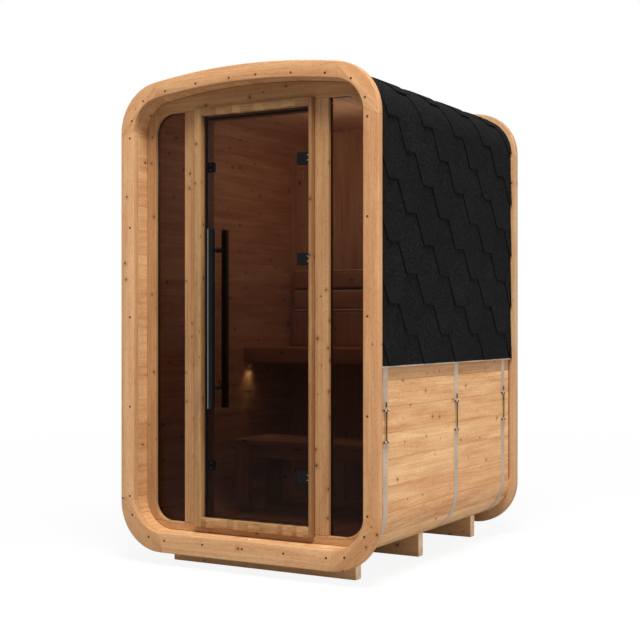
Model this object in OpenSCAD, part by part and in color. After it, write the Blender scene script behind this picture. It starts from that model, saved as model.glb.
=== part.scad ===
// Cube sauna cabin: a rounded-square tube of boards lying front to back, closed by a
// glazed front wall and a plain back wall, held by steel bands and standing on beams.
// X runs left to right, Y front to back, Z up. The origin is on the ground, at the
// middle of the outline.

/* [Tube] */
// Width over the end rings
ring_w = 1321; // [1200:1:1700]
// Length over the end rings
tube_len = 1564; // [1300:1:2000]
// Height of the crown above the ground
crown_z = 2205; // [2050:1:2500]
// Outside radius of the arched top
crown_r = 3150; // [2800:50:6000]
// Outside radius of the four corners
corner_r = 220; // [180:5:260]
// Height of the rings' underside above the ground
ring_sole = 59; // [30:1:80]
// Thickness of the boards
board_t = 40; // [28:1:44]

/* [End rings] */
// Depth of each ring, front to back
ring_t = 38; // [28:1:60]
// How far the rings stand proud of the boards at the sides and top
ring_lip = 32; // [24:1:40]
// How far they stand proud of the boards underneath
ring_lip_low = 50; // [36:1:70]

/* [Front wall] */
// Depth of the porch, from the ring's face to the wall's face
porch_d = 98; // [60:1:160]
// Thickness of the front wall and the back wall
wall_t = 40; // [30:1:50]
// Width of each wall post beside the door frame
post_w = 69; // [50:1:90]
// Width of the wall strip outside each window
window_side = 50; // [40:1:90]
// Height of the wall strip above the windows, under the arch's middle
window_head = 91; // [70:1:130]
// Height of the wall strip below the windows
window_foot = 38; // [30:1:80]
// Radius of each window's outer corners
window_r = 90; // [40:1:120]
// Thickness of the window glass
pane_t = 6; // [4:1:10]

/* [Door] */
// Clear width between the jambs
door_w = 558; // [500:2:620]
// Width of the jambs' faces, the mean of the two
jamb_w = 25.5; // [20:0.5:45]
// How far the opening's middle lies to the right of the frame's middle
door_shift = 9.5; // [0:0.5:15]
// Depth of the door frame
jamb_d = 84; // [60:1:100]
// Height of the header's face
header_h = 34; // [25:1:60]
// How far the header's top lies above the windows' tops
header_rise = 5; // [0:1:20]
// Height of the threshold's face
threshold_h = 41; // [30:1:60]
// Height of the wall strip under the threshold
door_foot = 28; // [15:1:60]
// How far the door frame stands proud of the wall
frame_proud = 25; // [0:1:30]
// Thickness of the door glass
door_glass_t = 8; // [8:1:10]
// How far the glass lies behind the door frame's face
glass_set = 22; // [4:1:30]
// Gap beside the door glass on the catch side and above it
door_gap = 10; // [6:1:12]
// Gap beside the door glass on the hinge side and below it
door_gap_low = 5; // [5:1:8]
// Width of the stop behind the glass
stop_w = 16; // [12:1:20]
// Height of the lower hinge above the glass's lower edge
hinge_low_up = 207; // [120:1:300]
// Depth of the middle hinge below the glass's upper edge
hinge_mid_down = 641; // [500:1:900]
// Depth of the upper hinge below the glass's upper edge
hinge_top_down = 211; // [120:1:300]
// Height of the lower catch above the glass's lower edge
catch_low_up = 227; // [120:1:300]
// Depth of the upper catch below the glass's upper edge
catch_top_down = 218; // [120:1:300]
// Length of the two handle bars
handle_len = 795; // [500:5:1000]
// Side of the square handle bars
handle_bar = 25; // [18:1:30]
// Distance from the glass to the middle of each handle bar
handle_reach = 51; // [35:1:60]
// Distance from the glass edge to the middle of the handle
handle_in = 68; // [50:1:100]
// How far the handle's middle lies below the glass's middle
handle_drop = 6; // [-50:1:100]

/* [Back wall] */
// Distance of the back wall's outer face from the rear ring's face
back_set = 150; // [45:1:200]

/* [Benches] */
// Height of the upper bench above the cabin floor
upper_h = 815; // [700:5:950]
// Depth of the upper bench, from its front to the back wall
upper_d = 465; // [380:5:500]
// Height of the upper bench's fascia
fascia_h = 77; // [60:1:100]
// Height of the lower bench above the cabin floor
lower_h = 362; // [300:5:450]
// Depth of the lower bench
lower_d = 337; // [280:1:400]
// How far the lower bench's front stands ahead of the upper one's
lower_ahead = 224; // [100:1:260]
// Gap between the lower bench and each side wall
lower_side_gap = 82; // [10:1:100]
// Thickness of the bench boards
bench_t = 27; // [22:1:32]
// Height of the panel behind the upper bench, above the seat
panel_h = 201; // [120:1:260]
// Height of each backrest rail
rail_h = 97; // [70:1:120]
// Gap between the backrest rails
rail_gap = 13; // [8:1:30]

/* [Roof cover] */
// Height of the shingles' lower edge above the ground
shingle_z = 909; // [700:1:1200]
// Thickness of the shingle cover
shingle_t = 6; // [4:1:8]
// Space for the felt and the bands under the shingles
felt_t = 2; // [2:0.5:4]

/* [Bands] */
// Width of the steel bands
band_w = 44; // [25:1:50]
// Thickness of the steel bands
band_t = 1.2; // [0.8:0.1:1.4]
// Distance of the front band's near edge from the front ring's face
band_front = 100; // [90:1:180]
// Distance of the middle band's near edge from the front ring's face
band_mid = 826; // [730:1:900]
// Distance of the rear band's far edge from the rear ring's face
band_rear = 111; // [90:1:180]
// Height of the front tensioners' middle above the ground
tension_front_z = 660; // [450:1:800]
// Height of the middle tensioners' middle above the ground
tension_mid_z = 661; // [450:1:800]
// Height of the rear tensioners' middle above the ground
tension_rear_z = 671; // [450:1:800]
// Distance between a tensioner's two lugs
tension_span = 132; // [100:2:180]

/* [Beams] */
// Thickness of the beams under the tube, front to back
beam_t = 48; // [40:1:60]
// Distance of the front beam from the front ring's face
beam_front = 154; // [40:1:240]
// Distance of the rear beam from the rear ring's face
beam_rear = 130; // [40:1:240]
// How far the beams' ends lie in from the rings' sides
beam_end = 186; // [100:1:260]

/* [Hidden] */
$fn = 96;
crown_fn = 720;
pine = "#d8a878";
pale_pine = "#dcb988";
steel = "#b8b4ad";
black = "#1c1c1c";
tint = [0.25, 0.17, 0.12, 0.5];

// Clearances
touch = 0.3;        // between curved pieces that lie on each other
run = 0.3;          // running play at the hinge pins
joint_gap = 2;      // open joint round the door frame
seam = 0.1;         // between the roof deck and the corners

// Tube outline: corner and crown centres are shared by every layer
half_w = ring_w / 2;
y_front = -tube_len / 2;
y_back = tube_len / 2;
corner_x = half_w - corner_r;
crown_cz = crown_z - crown_r;
corner_cz = crown_cz + sqrt(pow(crown_r - corner_r, 2) - pow(corner_x, 2));
crown_ang = asin(corner_x / (crown_r - corner_r));
seam_ang = asin(seam / (crown_r - corner_r));
wall_x = half_w - ring_lip - board_t;           // inner face of the side walls
floor_z = ring_sole + ring_lip_low + board_t;   // cabin floor
under_z = ring_sole + ring_lip_low;             // underside of the boards
inner_r = corner_r - ring_lip - board_t;        // corner radius inside
ceiling_z = crown_z - ring_lip - board_t;       // cabin ceiling at its middle

// Front wall
wall_y = y_front + porch_d;
frame_y = wall_y - frame_proud;
frame_x = door_w / 2 + jamb_w;
win_out = wall_x - window_side;
win_in = frame_x + post_w;
win_top = ceiling_z - window_head;
win_low = floor_z + window_foot;
win_r = min(window_r, win_out - win_in - 1);
door_low = floor_z + door_foot + threshold_h;
door_top = win_top + header_rise - header_h;
frame_low = floor_z + door_foot;
frame_top = door_top + header_h;
door_l = door_shift - door_w / 2;               // inner faces of the jambs
door_r = door_shift + door_w / 2;

// Door
glass_y = frame_y + glass_set;
glass_l = door_l + door_gap;
glass_r = door_r - door_gap_low;
glass_low = door_low + door_gap_low;
glass_top = door_top - door_gap;
seal_t = 6;                     // between the glass and its stop
stop_y = glass_y + door_glass_t + seal_t;
knuckle_r = 6;
pin_r = 2.5;
hinge_x = door_r - knuckle_r - 2;
hinge_y = glass_y - knuckle_r - 4;
hinge_h = 54;
leaf_w = 50;
leaf_t = 6;
clamp_t = 5;                    // plate behind the glass
middle_knuckle = 18;
knuckle_gap = 0.5;
hinge_zs = [glass_low + hinge_low_up, glass_top - hinge_mid_down, glass_top - hinge_top_down];
handle_x = glass_l + handle_in;
handle_z = (glass_low + glass_top) / 2 - handle_drop;
post_r = 8;
post_in = 92;
catch_zs = [glass_low + catch_low_up, glass_top - catch_top_down];
catch_size = [30, 20, 44];

// Back wall and benches
back_y = y_back - back_set - wall_t;
bench_y = back_y - upper_d;
upper_z = floor_z + upper_h;
slat_gap = 12;
fascia_t = 22;
bearer_t = 45;
step_y = bench_y - lower_ahead;
lower_z = floor_z + lower_h;
step_x = wall_x - lower_side_gap;
leg_w = 78;
leg_d = 40;
leg_x = corner_x - 23;          // each leg starts on the flat floor, beside the corner
leg_set = 8;                    // from the seat's edge to the legs
apron_h = 60;
apron_t = 24;
apron_x = step_x - 30;
apron_set = 16;                 // from the seat's edge to the aprons

// Backrest
rest_x = wall_x - 42;
rail_t = 22;
batten_t = 20;
batten_w = 60;
batten_in = 60;
panel_t = batten_t + rail_t + 4;
panel_top = upper_z + panel_h;
rail_low = panel_top + 3;

// Lamp
lamp_r = 14;
lamp_h = 12;
lamp_set = 20;                  // from the fascia's back to the lamp's middle

// Roof cover, bands and beams
cover_y0 = y_front + ring_t;
cover_y1 = y_back - ring_t;
drip_h = 6;
drip_lip = 2;
band_x = half_w - ring_lip + touch + band_t;    // outer face of the bands
beam_back = tube_len - beam_rear - beam_t;
beam_middle = (beam_front + beam_back) / 2;
groove = band_t + 2 * touch;    // depth of the beams' grooves for the bands
BANDS = [[band_front, tension_front_z], [band_mid, tension_mid_z], [tube_len - band_rear - band_w, tension_rear_z]];
lug_r = 6;
lug_fold_t = 2;
lug_fold_h = 24;
rod_r = 3.5;
rod_spare = 34;
nut_h = 7;
nut_r = 6.8;

// Extrudes a shape drawn in X and Z from y0 to y1
module along_y(y0, y1) {
    translate([0, y1, 0]) rotate([90, 0, 0]) linear_extrude(y1 - y0) children();
}

// A box from its low corner to its high corner
module block(low, high) {
    translate(low) cube(high - low);
}

// The tube's outline, inset from the ring's outline, with its bottom at z = sole
module tube_2d(inset, sole) {
    a = half_w - inset;
    r = corner_r - inset;
    big = crown_r - inset;
    tx = big * sin(crown_ang);
    tz = crown_cz + big * cos(crown_ang);
    polygon([[-corner_x, sole], [corner_x, sole], [a, sole + r], [a, corner_cz],
             [tx, tz], [-tx, tz], [-a, corner_cz], [-a, sole + r]]);
    for (sx = [-1, 1], z = [sole + r, corner_cz])
        translate([sx * corner_x, z]) circle(r);
    intersection() {
        translate([0, crown_cz]) circle(big, $fn = crown_fn);
        translate([-tx, tz]) square([2 * tx, crown_z]);
    }
}

// A stretch of curved board: between two radii and two angles from +X
module arc_2d(r_in, r_out, a0, a1) {
    reach = 1.2 * r_out;
    intersection() {
        difference() {
            circle(r_out);
            circle(r_in);
        }
        polygon([[0, 0], reach * [cos(a0), sin(a0)],
                 reach * [cos((a0 + a1) / 2), sin((a0 + a1) / 2)], reach * [cos(a1), sin(a1)]]);
    }
}

// Inside of the tube, where the walls fit
module cabin_2d() {
    tube_2d(ring_lip + board_t, floor_z);
}

// A beam, grooved on top where a band passes under the boards
module support_beam(dist) {
    color(pine) difference() {
        block([-half_w + beam_end, y_front + dist, 0],
              [half_w - beam_end, y_front + dist + beam_t, under_z]);
        for (band = BANDS)
            block([-half_w, y_front + band[0] - 1, under_z - groove],
                  [half_w, y_front + band[0] + band_w + 1, under_z + 1]);
    }
}

module floor_deck() {
    color(pine) block([-corner_x, y_front + ring_t, under_z], [corner_x, y_back - ring_t, floor_z]);
}

module side_wall(side) {
    x0 = side < 0 ? -wall_x - board_t : wall_x;
    color(pine) block([x0, y_front + ring_t, under_z + inner_r + board_t],
                      [x0 + board_t, y_back - ring_t, corner_cz]);
}

module roof_deck() {
    color(pine) along_y(y_front + ring_t, y_back - ring_t) translate([0, crown_cz])
        arc_2d(crown_r - ring_lip - board_t, crown_r - ring_lip,
               90 - crown_ang + seam_ang, 90 + crown_ang - seam_ang, $fn = crown_fn);
}

module lower_corner(side) {
    color(pine) along_y(y_front + ring_t, y_back - ring_t) mirror([side < 0 ? 1 : 0, 0])
        translate([corner_x, under_z + inner_r + board_t]) arc_2d(inner_r, inner_r + board_t, -90, 0);
}

module upper_corner(side) {
    color(pine) along_y(y_front + ring_t, y_back - ring_t) mirror([side < 0 ? 1 : 0, 0])
        translate([corner_x, corner_cz]) arc_2d(inner_r, inner_r + board_t, 0, 90 - crown_ang);
}

// An end ring; it covers the ends of the boards
module end_ring(y0) {
    color(pine) along_y(y0, y0 + ring_t) difference() {
        tube_2d(0, ring_sole);
        cabin_2d();
    }
}

// A window opening on the right, with rounded outer corners, made smaller all round by inset
module window_2d(inset) {
    r = win_r - inset;
    x0 = win_in + inset;
    x1 = win_out - inset;
    z0 = win_low + inset;
    z1 = win_top - inset;
    intersection() {
        union() {
            translate([x0, z0 + r]) square([x1 - x0, z1 - z0 - 2 * r]);
            translate([x0 - r, z0]) square([x1 - x0, z1 - z0]);
            for (z = [z0 + r, z1 - r])
                translate([x1 - r, z]) circle(r);
        }
        translate([x0, z0]) square([x1 - x0, z1 - z0]);
    }
}

module front_wall_head() {
    color(pine) along_y(wall_y, wall_y + wall_t) intersection() {
        cabin_2d();
        difference() {
            translate([-half_w, win_top]) square([ring_w, crown_z - win_top]);
            translate([-frame_x - joint_gap, 0])
                square([2 * (frame_x + joint_gap), frame_top + joint_gap]);
        }
    }
}

module front_wall_foot() {
    color(pine) along_y(wall_y, wall_y + wall_t) intersection() {
        cabin_2d();
        difference() {
            translate([-half_w, 0]) square([ring_w, win_low]);
            translate([-frame_x - joint_gap, frame_low]) square([2 * (frame_x + joint_gap), crown_z]);
        }
    }
}

module front_wall_side(side) {
    color(pine) along_y(wall_y, wall_y + wall_t) mirror([side < 0 ? 1 : 0, 0]) intersection() {
        cabin_2d();
        difference() {
            translate([win_out - win_r, win_low]) square([half_w, win_top - win_low]);
            window_2d(0);
        }
    }
}

module wall_post(side) {
    color(pine) mirror([side < 0 ? 1 : 0, 0, 0])
        block([frame_x + joint_gap, wall_y, win_low], [win_in, wall_y + wall_t, win_top]);
}

module window_pane(side) {
    mid = wall_y + (wall_t - pane_t) / 2;
    color(tint) along_y(mid, mid + pane_t) mirror([side < 0 ? 1 : 0, 0]) window_2d(touch);
}

// A jamb with the stop behind the glass; the left one is the wider
module jamb(side) {
    inner = side < 0 ? -door_l : door_r;
    color(pale_pine) mirror([side < 0 ? 1 : 0, 0, 0]) {
        block([inner, frame_y, frame_low], [frame_x, frame_y + jamb_d, frame_top]);
        block([inner - stop_w, stop_y, door_low], [inner, frame_y + jamb_d, door_top]);
    }
}

module door_header() {
    color(pale_pine) union() {
        block([door_l, frame_y, door_top], [door_r, frame_y + jamb_d, frame_top]);
        block([door_l + stop_w, stop_y, door_top - stop_w],
              [door_r - stop_w, frame_y + jamb_d, door_top]);
    }
}

module door_threshold() {
    color(pale_pine) block([door_l, frame_y, frame_low], [door_r, frame_y + jamb_d, door_low]);
}

module back_wall() {
    color(pine) along_y(back_y, back_y + wall_t) cabin_2d();
}

// A row of bench boards laid left to right between y0 and y1, with its top at z1
module bench_boards(x, y0, y1, z1, count) {
    w = (y1 - y0 - (count - 1) * slat_gap) / count;
    for (i = [0 : count - 1])
        block([-x, y0 + i * (w + slat_gap), z1 - bench_t], [x, y0 + i * (w + slat_gap) + w, z1]);
}

module upper_bench_seat() {
    color(pine) bench_boards(wall_x, bench_y + fascia_t, back_y, upper_z, 4);
}

module upper_bench_frame() {
    low = upper_z - fascia_h;
    color(pine) union() {
        block([-wall_x, bench_y, low], [wall_x, bench_y + fascia_t, upper_z]);
        for (x = [-wall_x, -bearer_t / 2, wall_x - bearer_t])
            block([x, bench_y + fascia_t, low], [x + bearer_t, back_y, upper_z - bench_t]);
    }
}

module lower_bench_seat() {
    color(pine) bench_boards(step_x, step_y, step_y + lower_d, lower_z, 3);
}

// Four legs whose feet follow the curved corners, tied by aprons under the seat
module lower_bench_frame() {
    top = lower_z - bench_t;
    color(pine) union() {
        intersection() {
            for (sx = [0, 1], y = [step_y + leg_set, step_y + lower_d - leg_set - leg_d])
                mirror([sx, 0, 0]) block([leg_x, y, floor_z], [leg_x + leg_w, y + leg_d, top]);
            along_y(step_y, step_y + lower_d) cabin_2d();
        }
        for (y = [step_y + apron_set, step_y + lower_d - apron_set - apron_t])
            block([-apron_x, y, top - apron_h], [apron_x, y + apron_t, top]);
        for (x = [-apron_x, -apron_t / 2, apron_x - apron_t])
            block([x, step_y + apron_set, top - apron_h],
                  [x + apron_t, step_y + lower_d - apron_set, top]);
    }
}

// Two rails on three battens
module backrest_rails() {
    color(pine) union() {
        for (z = [rail_low, rail_low + rail_h + rail_gap])
            block([-rest_x, back_y - batten_t - rail_t, z], [rest_x, back_y - batten_t, z + rail_h]);
        for (x = [-rest_x + batten_in, -batten_w / 2, rest_x - batten_in - batten_w])
            block([x, back_y - batten_t, rail_low],
                  [x + batten_w, back_y, rail_low + 2 * rail_h + rail_gap]);
    }
}

module back_panel() {
    color(pine) block([-rest_x, back_y - panel_t, upper_z], [rest_x, back_y, panel_top]);
}

module bench_lamp() {
    color(steel) translate([-wall_x + bearer_t / 2, bench_y + fascia_t + lamp_set, upper_z - fascia_h])
        mirror([0, 0, 1]) cylinder(h = lamp_h, r = lamp_r);
}

module shingle_cover() {
    color(black) along_y(cover_y0, cover_y1) intersection() {
        difference() {
            tube_2d(ring_lip - felt_t - shingle_t, ring_sole);
            tube_2d(ring_lip - felt_t, ring_sole + shingle_t);
        }
        translate([-half_w, shingle_z]) square([ring_w, crown_z]);
    }
}

module drip_edges() {
    x = half_w - ring_lip + felt_t;
    color(steel) for (sx = [0, 1])
        mirror([sx, 0, 0])
            block([x, cover_y0, shingle_z - drip_h], [x + shingle_t + drip_lip, cover_y1, shingle_z]);
}

// A band round the boards, open on both sides between its tensioner's lugs
module steel_band(band) {
    y = y_front + band[0];
    color(steel) along_y(y, y + band_w) difference() {
        tube_2d(ring_lip - touch - band_t, under_z - touch - band_t);
        tube_2d(ring_lip - touch, under_z - touch);
        translate([-half_w, band[1] - tension_span / 2]) square([ring_w, tension_span]);
    }
}

// The band's two ends, each folded round a lug, and the rod and nut that pull them together
module tensioner(y, z) {
    low = z - tension_span / 2;
    high = z + tension_span / 2;
    for (lug_z = [low, high])
        translate([band_x + lug_r, y, lug_z]) rotate([-90, 0, 0]) cylinder(h = band_w, r = lug_r);
    block([band_x, y, low - lug_fold_h], [band_x + lug_fold_t, y + band_w, low]);
    block([band_x, y, high], [band_x + lug_fold_t, y + band_w, high + lug_fold_h]);
    translate([band_x + lug_r, y + band_w / 2, low]) cylinder(h = tension_span + rod_spare, r = rod_r);
    translate([band_x + lug_r, y + band_w / 2, high + lug_r - 1]) rotate(30)
        cylinder(h = nut_h, r = nut_r, $fn = 6);
}

module band_tensioners() {
    color(steel) for (sx = [0, 1], band = BANDS)
        mirror([sx, 0, 0]) tensioner(y_front + band[0], band[1]);
}

module door_glass() {
    color(tint) block([glass_l, glass_y, glass_low], [glass_r, glass_y + door_glass_t, glass_top]);
}

// Each hinge's moving half: a plate with the middle knuckle, clamped through the glass
module hinge_leaves() {
    edge = hinge_x - knuckle_r - 1.5;
    h = hinge_h / 2;
    k = middle_knuckle / 2;
    back = glass_y + door_glass_t;
    color(black) for (z = hinge_zs) {
        difference() {
            union() {
                block([edge - leaf_w, glass_y - leaf_t, z - h], [edge, glass_y, z + h]);
                block([edge - 1, glass_y - leaf_t, z - k], [hinge_x, glass_y - 2, z + k]);
                translate([hinge_x, hinge_y, z - k]) cylinder(h = middle_knuckle, r = knuckle_r);
            }
            translate([hinge_x, hinge_y, z - hinge_h]) cylinder(h = 2 * hinge_h, r = pin_r + run);
        }
        block([edge - leaf_w, back, z - h], [edge - 6, back + clamp_t, z + h]);
    }
}

// Each hinge's fixed half: the pin and the two end knuckles on a plate let into the jamb's side
module hinge_brackets() {
    end_h = (hinge_h - middle_knuckle) / 2 - knuckle_gap;
    plate_x = door_r - 2;
    plate_y = hinge_y + knuckle_r + 1;
    color(black) for (z = hinge_zs) {
        low = z - hinge_h / 2;
        union() {
            translate([hinge_x, hinge_y, low]) cylinder(h = hinge_h, r = pin_r);
            for (z0 = [low, z + middle_knuckle / 2 + knuckle_gap]) {
                translate([hinge_x, hinge_y, z0]) cylinder(h = end_h, r = knuckle_r);
                block([hinge_x, hinge_y, z0], [door_r, plate_y + 1, z0 + end_h]);
            }
            block([plate_x, plate_y, low], [door_r, plate_y + 16, z + hinge_h / 2]);
        }
    }
}

// One square bar on two posts, on the side of the glass that dir points to
module handle(dir) {
    face = dir < 0 ? glass_y : glass_y + door_glass_t;
    bar_y = face + dir * handle_reach;
    h = handle_bar / 2;
    color(black) union() {
        block([handle_x - h, bar_y - h, handle_z - handle_len / 2],
              [handle_x + h, bar_y + h, handle_z + handle_len / 2]);
        for (z = [handle_z - handle_len / 2 + post_in, handle_z + handle_len / 2 - post_in])
            translate([handle_x, min(face, bar_y), z]) rotate([-90, 0, 0]) cylinder(h = handle_reach, r = post_r);
    }
}

module door_catches() {
    color(black) for (z = catch_zs)
        translate([door_l + stop_w, stop_y, z - catch_size[2] / 2]) cube(catch_size);
}

support_beam(beam_front);  // front_support_beam
support_beam(beam_middle);  // middle_support_beam
support_beam(beam_back);  // rear_support_beam
floor_deck();
side_wall(-1);  // left_wall
side_wall(1);  // right_wall
roof_deck();
lower_corner(-1);  // lower_left_corner
lower_corner(1);  // lower_right_corner
upper_corner(-1);  // upper_left_corner
upper_corner(1);  // upper_right_corner
end_ring(y_front);  // front_ring
end_ring(y_back - ring_t);  // rear_ring
front_wall_head();
front_wall_foot();
front_wall_side(-1);  // front_wall_left
front_wall_side(1);  // front_wall_right
wall_post(-1);  // left_post
wall_post(1);  // right_post
window_pane(-1);  // left_window
window_pane(1);  // right_window
jamb(-1);  // left_jamb
jamb(1);  // right_jamb
door_header();
door_threshold();
back_wall();
upper_bench_seat();
upper_bench_frame();
lower_bench_seat();
lower_bench_frame();
backrest_rails();
back_panel();
bench_lamp();
shingle_cover();
drip_edges();
steel_band(BANDS[0]);  // front_band
steel_band(BANDS[1]);  // middle_band
steel_band(BANDS[2]);  // rear_band
band_tensioners();
door_glass();
hinge_leaves();
handle(-1);  // outer_handle
handle(1);  // inner_handle
hinge_brackets();
door_catches();
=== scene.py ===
"""Looks of the cube sauna cabin: its boards, rings, glazing, benches, shingles and bands."""

import logging
import math
import random
from dataclasses import dataclass
from enum import Enum
from typing import Any, Callable, Sequence

import bmesh
import bpy
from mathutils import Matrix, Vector


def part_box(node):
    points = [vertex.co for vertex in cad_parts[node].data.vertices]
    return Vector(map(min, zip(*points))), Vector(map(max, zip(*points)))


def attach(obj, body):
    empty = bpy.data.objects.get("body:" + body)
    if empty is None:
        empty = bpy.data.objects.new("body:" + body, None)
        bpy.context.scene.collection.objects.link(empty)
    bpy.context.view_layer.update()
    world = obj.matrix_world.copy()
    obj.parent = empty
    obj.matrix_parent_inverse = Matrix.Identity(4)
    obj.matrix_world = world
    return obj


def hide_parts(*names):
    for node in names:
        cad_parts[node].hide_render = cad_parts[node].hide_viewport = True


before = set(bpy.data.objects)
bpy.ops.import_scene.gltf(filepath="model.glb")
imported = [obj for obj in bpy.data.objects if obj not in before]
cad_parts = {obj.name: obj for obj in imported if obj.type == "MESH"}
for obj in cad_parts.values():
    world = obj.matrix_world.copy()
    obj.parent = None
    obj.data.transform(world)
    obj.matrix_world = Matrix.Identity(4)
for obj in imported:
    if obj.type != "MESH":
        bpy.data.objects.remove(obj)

LOG = logging.getLogger("sauna")
CABIN = "cabin"
DOOR = "door"
WHITE = (1.0, 1.0, 1.0, 1.0)
SQUARE = math.pi / 2

Point = tuple[float, float]
Rgba = tuple[float, float, float, float]
GrainRule = Callable[[Vector], Vector]
Socket = bpy.types.NodeSocket


def seen(*levels: int) -> Rgba:
    """Turns a colour as a screen shows it into linear light.

    Args:
        *levels: Red, green and blue, from 0 to 255.

    Returns:
        The colour in linear light, with an alpha of 1.
    """
    parts = [c / 255 for c in levels]
    return (*(c / 12.92 if c <= 0.04045 else ((c + 0.055) / 1.055) ** 2.4 for c in parts), 1.0)


class Along(Enum):
    """Direction in which a piece of wood or metal runs."""

    X = 0
    Y = 1
    Z = 2

    @property
    def section(self) -> tuple[int, int]:
        """The two axes of the piece's section."""
        return tuple(i for i in range(3) if i != self.value)

    def place(self, a: float, b: float, c: float) -> Vector:
        """Puts a point of the section at a place along the piece.

        Args:
            a: The section's first coordinate.
            b: Its second coordinate.
            c: The place along the piece.

        Returns:
            The point.
        """
        spot = [a, b]
        spot.insert(self.value, c)
        return Vector(spot)


class Side(Enum):
    """Left and right, as seen from the front."""

    LEFT = -1
    RIGHT = 1

    @property
    def word(self) -> str:
        """The side's name, for pieces."""
        return self.name.lower()

    def turn(self, points: Sequence[Point]) -> list[Point]:
        """Mirrors an outline in X and Z, drawn for the right, onto this side."""
        return list(points) if self is Side.RIGHT else [(-x, z) for x, z in reversed(points)]


# ---------------------------------------------------------------- node graphs


class Graph:
    """Node tree of one finish or of the world, with short calls for the nodes used most."""

    def __init__(self, name: str, store: Any = None) -> None:
        """Starts an empty material.

        Args:
            name: The material's name.
            store: Where it is kept, if it isn't a material but a world.
        """
        self.owner = (bpy.data.materials if store is None else store).new(name)
        self.owner.use_nodes = True
        self.tree = self.owner.node_tree
        self.tree.nodes.clear()

    def node(self, kind: str, inputs: dict[Any, Any], **settings: Any) -> bpy.types.Node:
        """Adds a node.

        Args:
            kind: The node's type, without its ShaderNode prefix.
            inputs: Values or sockets, by input name or number.
            **settings: Properties of the node.

        Returns:
            The new node.
        """
        made = self.tree.nodes.new("ShaderNode" + kind)
        for key, value in settings.items():
            setattr(made, key, value)
        for key, value in inputs.items():
            if isinstance(value, Socket):
                self.tree.links.new(value, made.inputs[key])
            else:
                made.inputs[key].default_value = value
        return made

    def math(self, operation: str, a: Any, b: Any = 0.0, c: Any = 0.5, clamp: bool = False) -> Socket:
        """Adds a Math node and returns its result."""
        return self.node("Math", {0: a, 1: b, 2: c}, operation=operation, use_clamp=clamp).outputs[0]

    def times(self, a: Any, b: Any) -> Socket:
        """Multiplies two values."""
        return self.math("MULTIPLY", a, b)

    def plus(self, a: Any, b: Any, clamp: bool = False) -> Socket:
        """Adds two values."""
        return self.math("ADD", a, b, clamp=clamp)

    def blend(self, share: Any, a: Any, b: Any, mode: str = "MIX") -> Socket:
        """Mixes two colours by share and returns the result."""
        return self.node("Mix", {0: share, 6: a, 7: b}, data_type="RGBA", blend_type=mode).outputs[2]

    def spread(self, value: Any, low: float, high: float, start: float, end: float) -> Socket:
        """Maps value smoothly from low..high to start..end and returns it."""
        names = {"Value": value, "From Min": low, "From Max": high, "To Min": start, "To Max": end}
        return self.node("MapRange", names, interpolation_type="SMOOTHSTEP").outputs[0]

    def noise(self, vector: Any, scale: float, detail: float = 2.0, rough: float = 0.5) -> Socket:
        """Adds noise over vector and returns its factor."""
        names = {"Vector": vector, "Scale": scale, "Detail": detail, "Roughness": rough}
        return self.node("TexNoise", names).outputs[0]

    def fibres(self, by: Sequence[float], detail: float = 2.0, rough: float = 0.5) -> Socket:
        """Adds noise over the wood's coordinates, scaled along, across and through the board."""
        drawn = self.node("VectorMath", {0: self.grain(), 1: by}, operation="MULTIPLY").outputs[0]
        return self.noise(drawn, 1.0, detail, rough)

    def grain(self) -> Socket:
        """The wood's own coordinates: along, across and through the board, in metres."""
        return self.node("Attribute", {}, attribute_name="grain").outputs["Vector"]

    def tone(self) -> Socket:
        """The board's own share, from 0 to 1, by which boards differ."""
        return self.node("Attribute", {}, attribute_name="tone").outputs["Fac"]

    def place(self) -> Socket:
        """The place in the object's own space, in metres."""
        return self.node("TexCoord", {}).outputs["Object"]

    def surface(self, shader: bpy.types.Node) -> bpy.types.Material:
        """Sends the shader to the output and returns the finished material."""
        self.node("OutputMaterial", {"Surface": shader.outputs[0]}).is_active_output = True
        return self.owner

    def solid(
        self, colour: Any, rough: Any, shine: float, height: Any, depth: float, strength: float,
        metal: float = 0.0,
    ) -> bpy.types.Material:
        """Finishes the material as a solid surface.

        Args:
            colour: Its colour.
            rough: Its roughness.
            shine: Its specular level.
            height: Its relief, from 0 to 1.
            depth: The relief's depth in metres.
            strength: How strongly the relief shows.
            metal: Its share of metal.

        Returns:
            The finished material.
        """
        bump = self.node("Bump", {"Height": height, "Distance": depth, "Strength": strength}).outputs[0]
        names = {"Base Color": colour, "Metallic": metal, "Roughness": rough, "Specular IOR Level": shine}
        return self.surface(self.node("BsdfPrincipled", {**names, "Normal": bump}))


# ---------------------------------------------------------------- finishes


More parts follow.
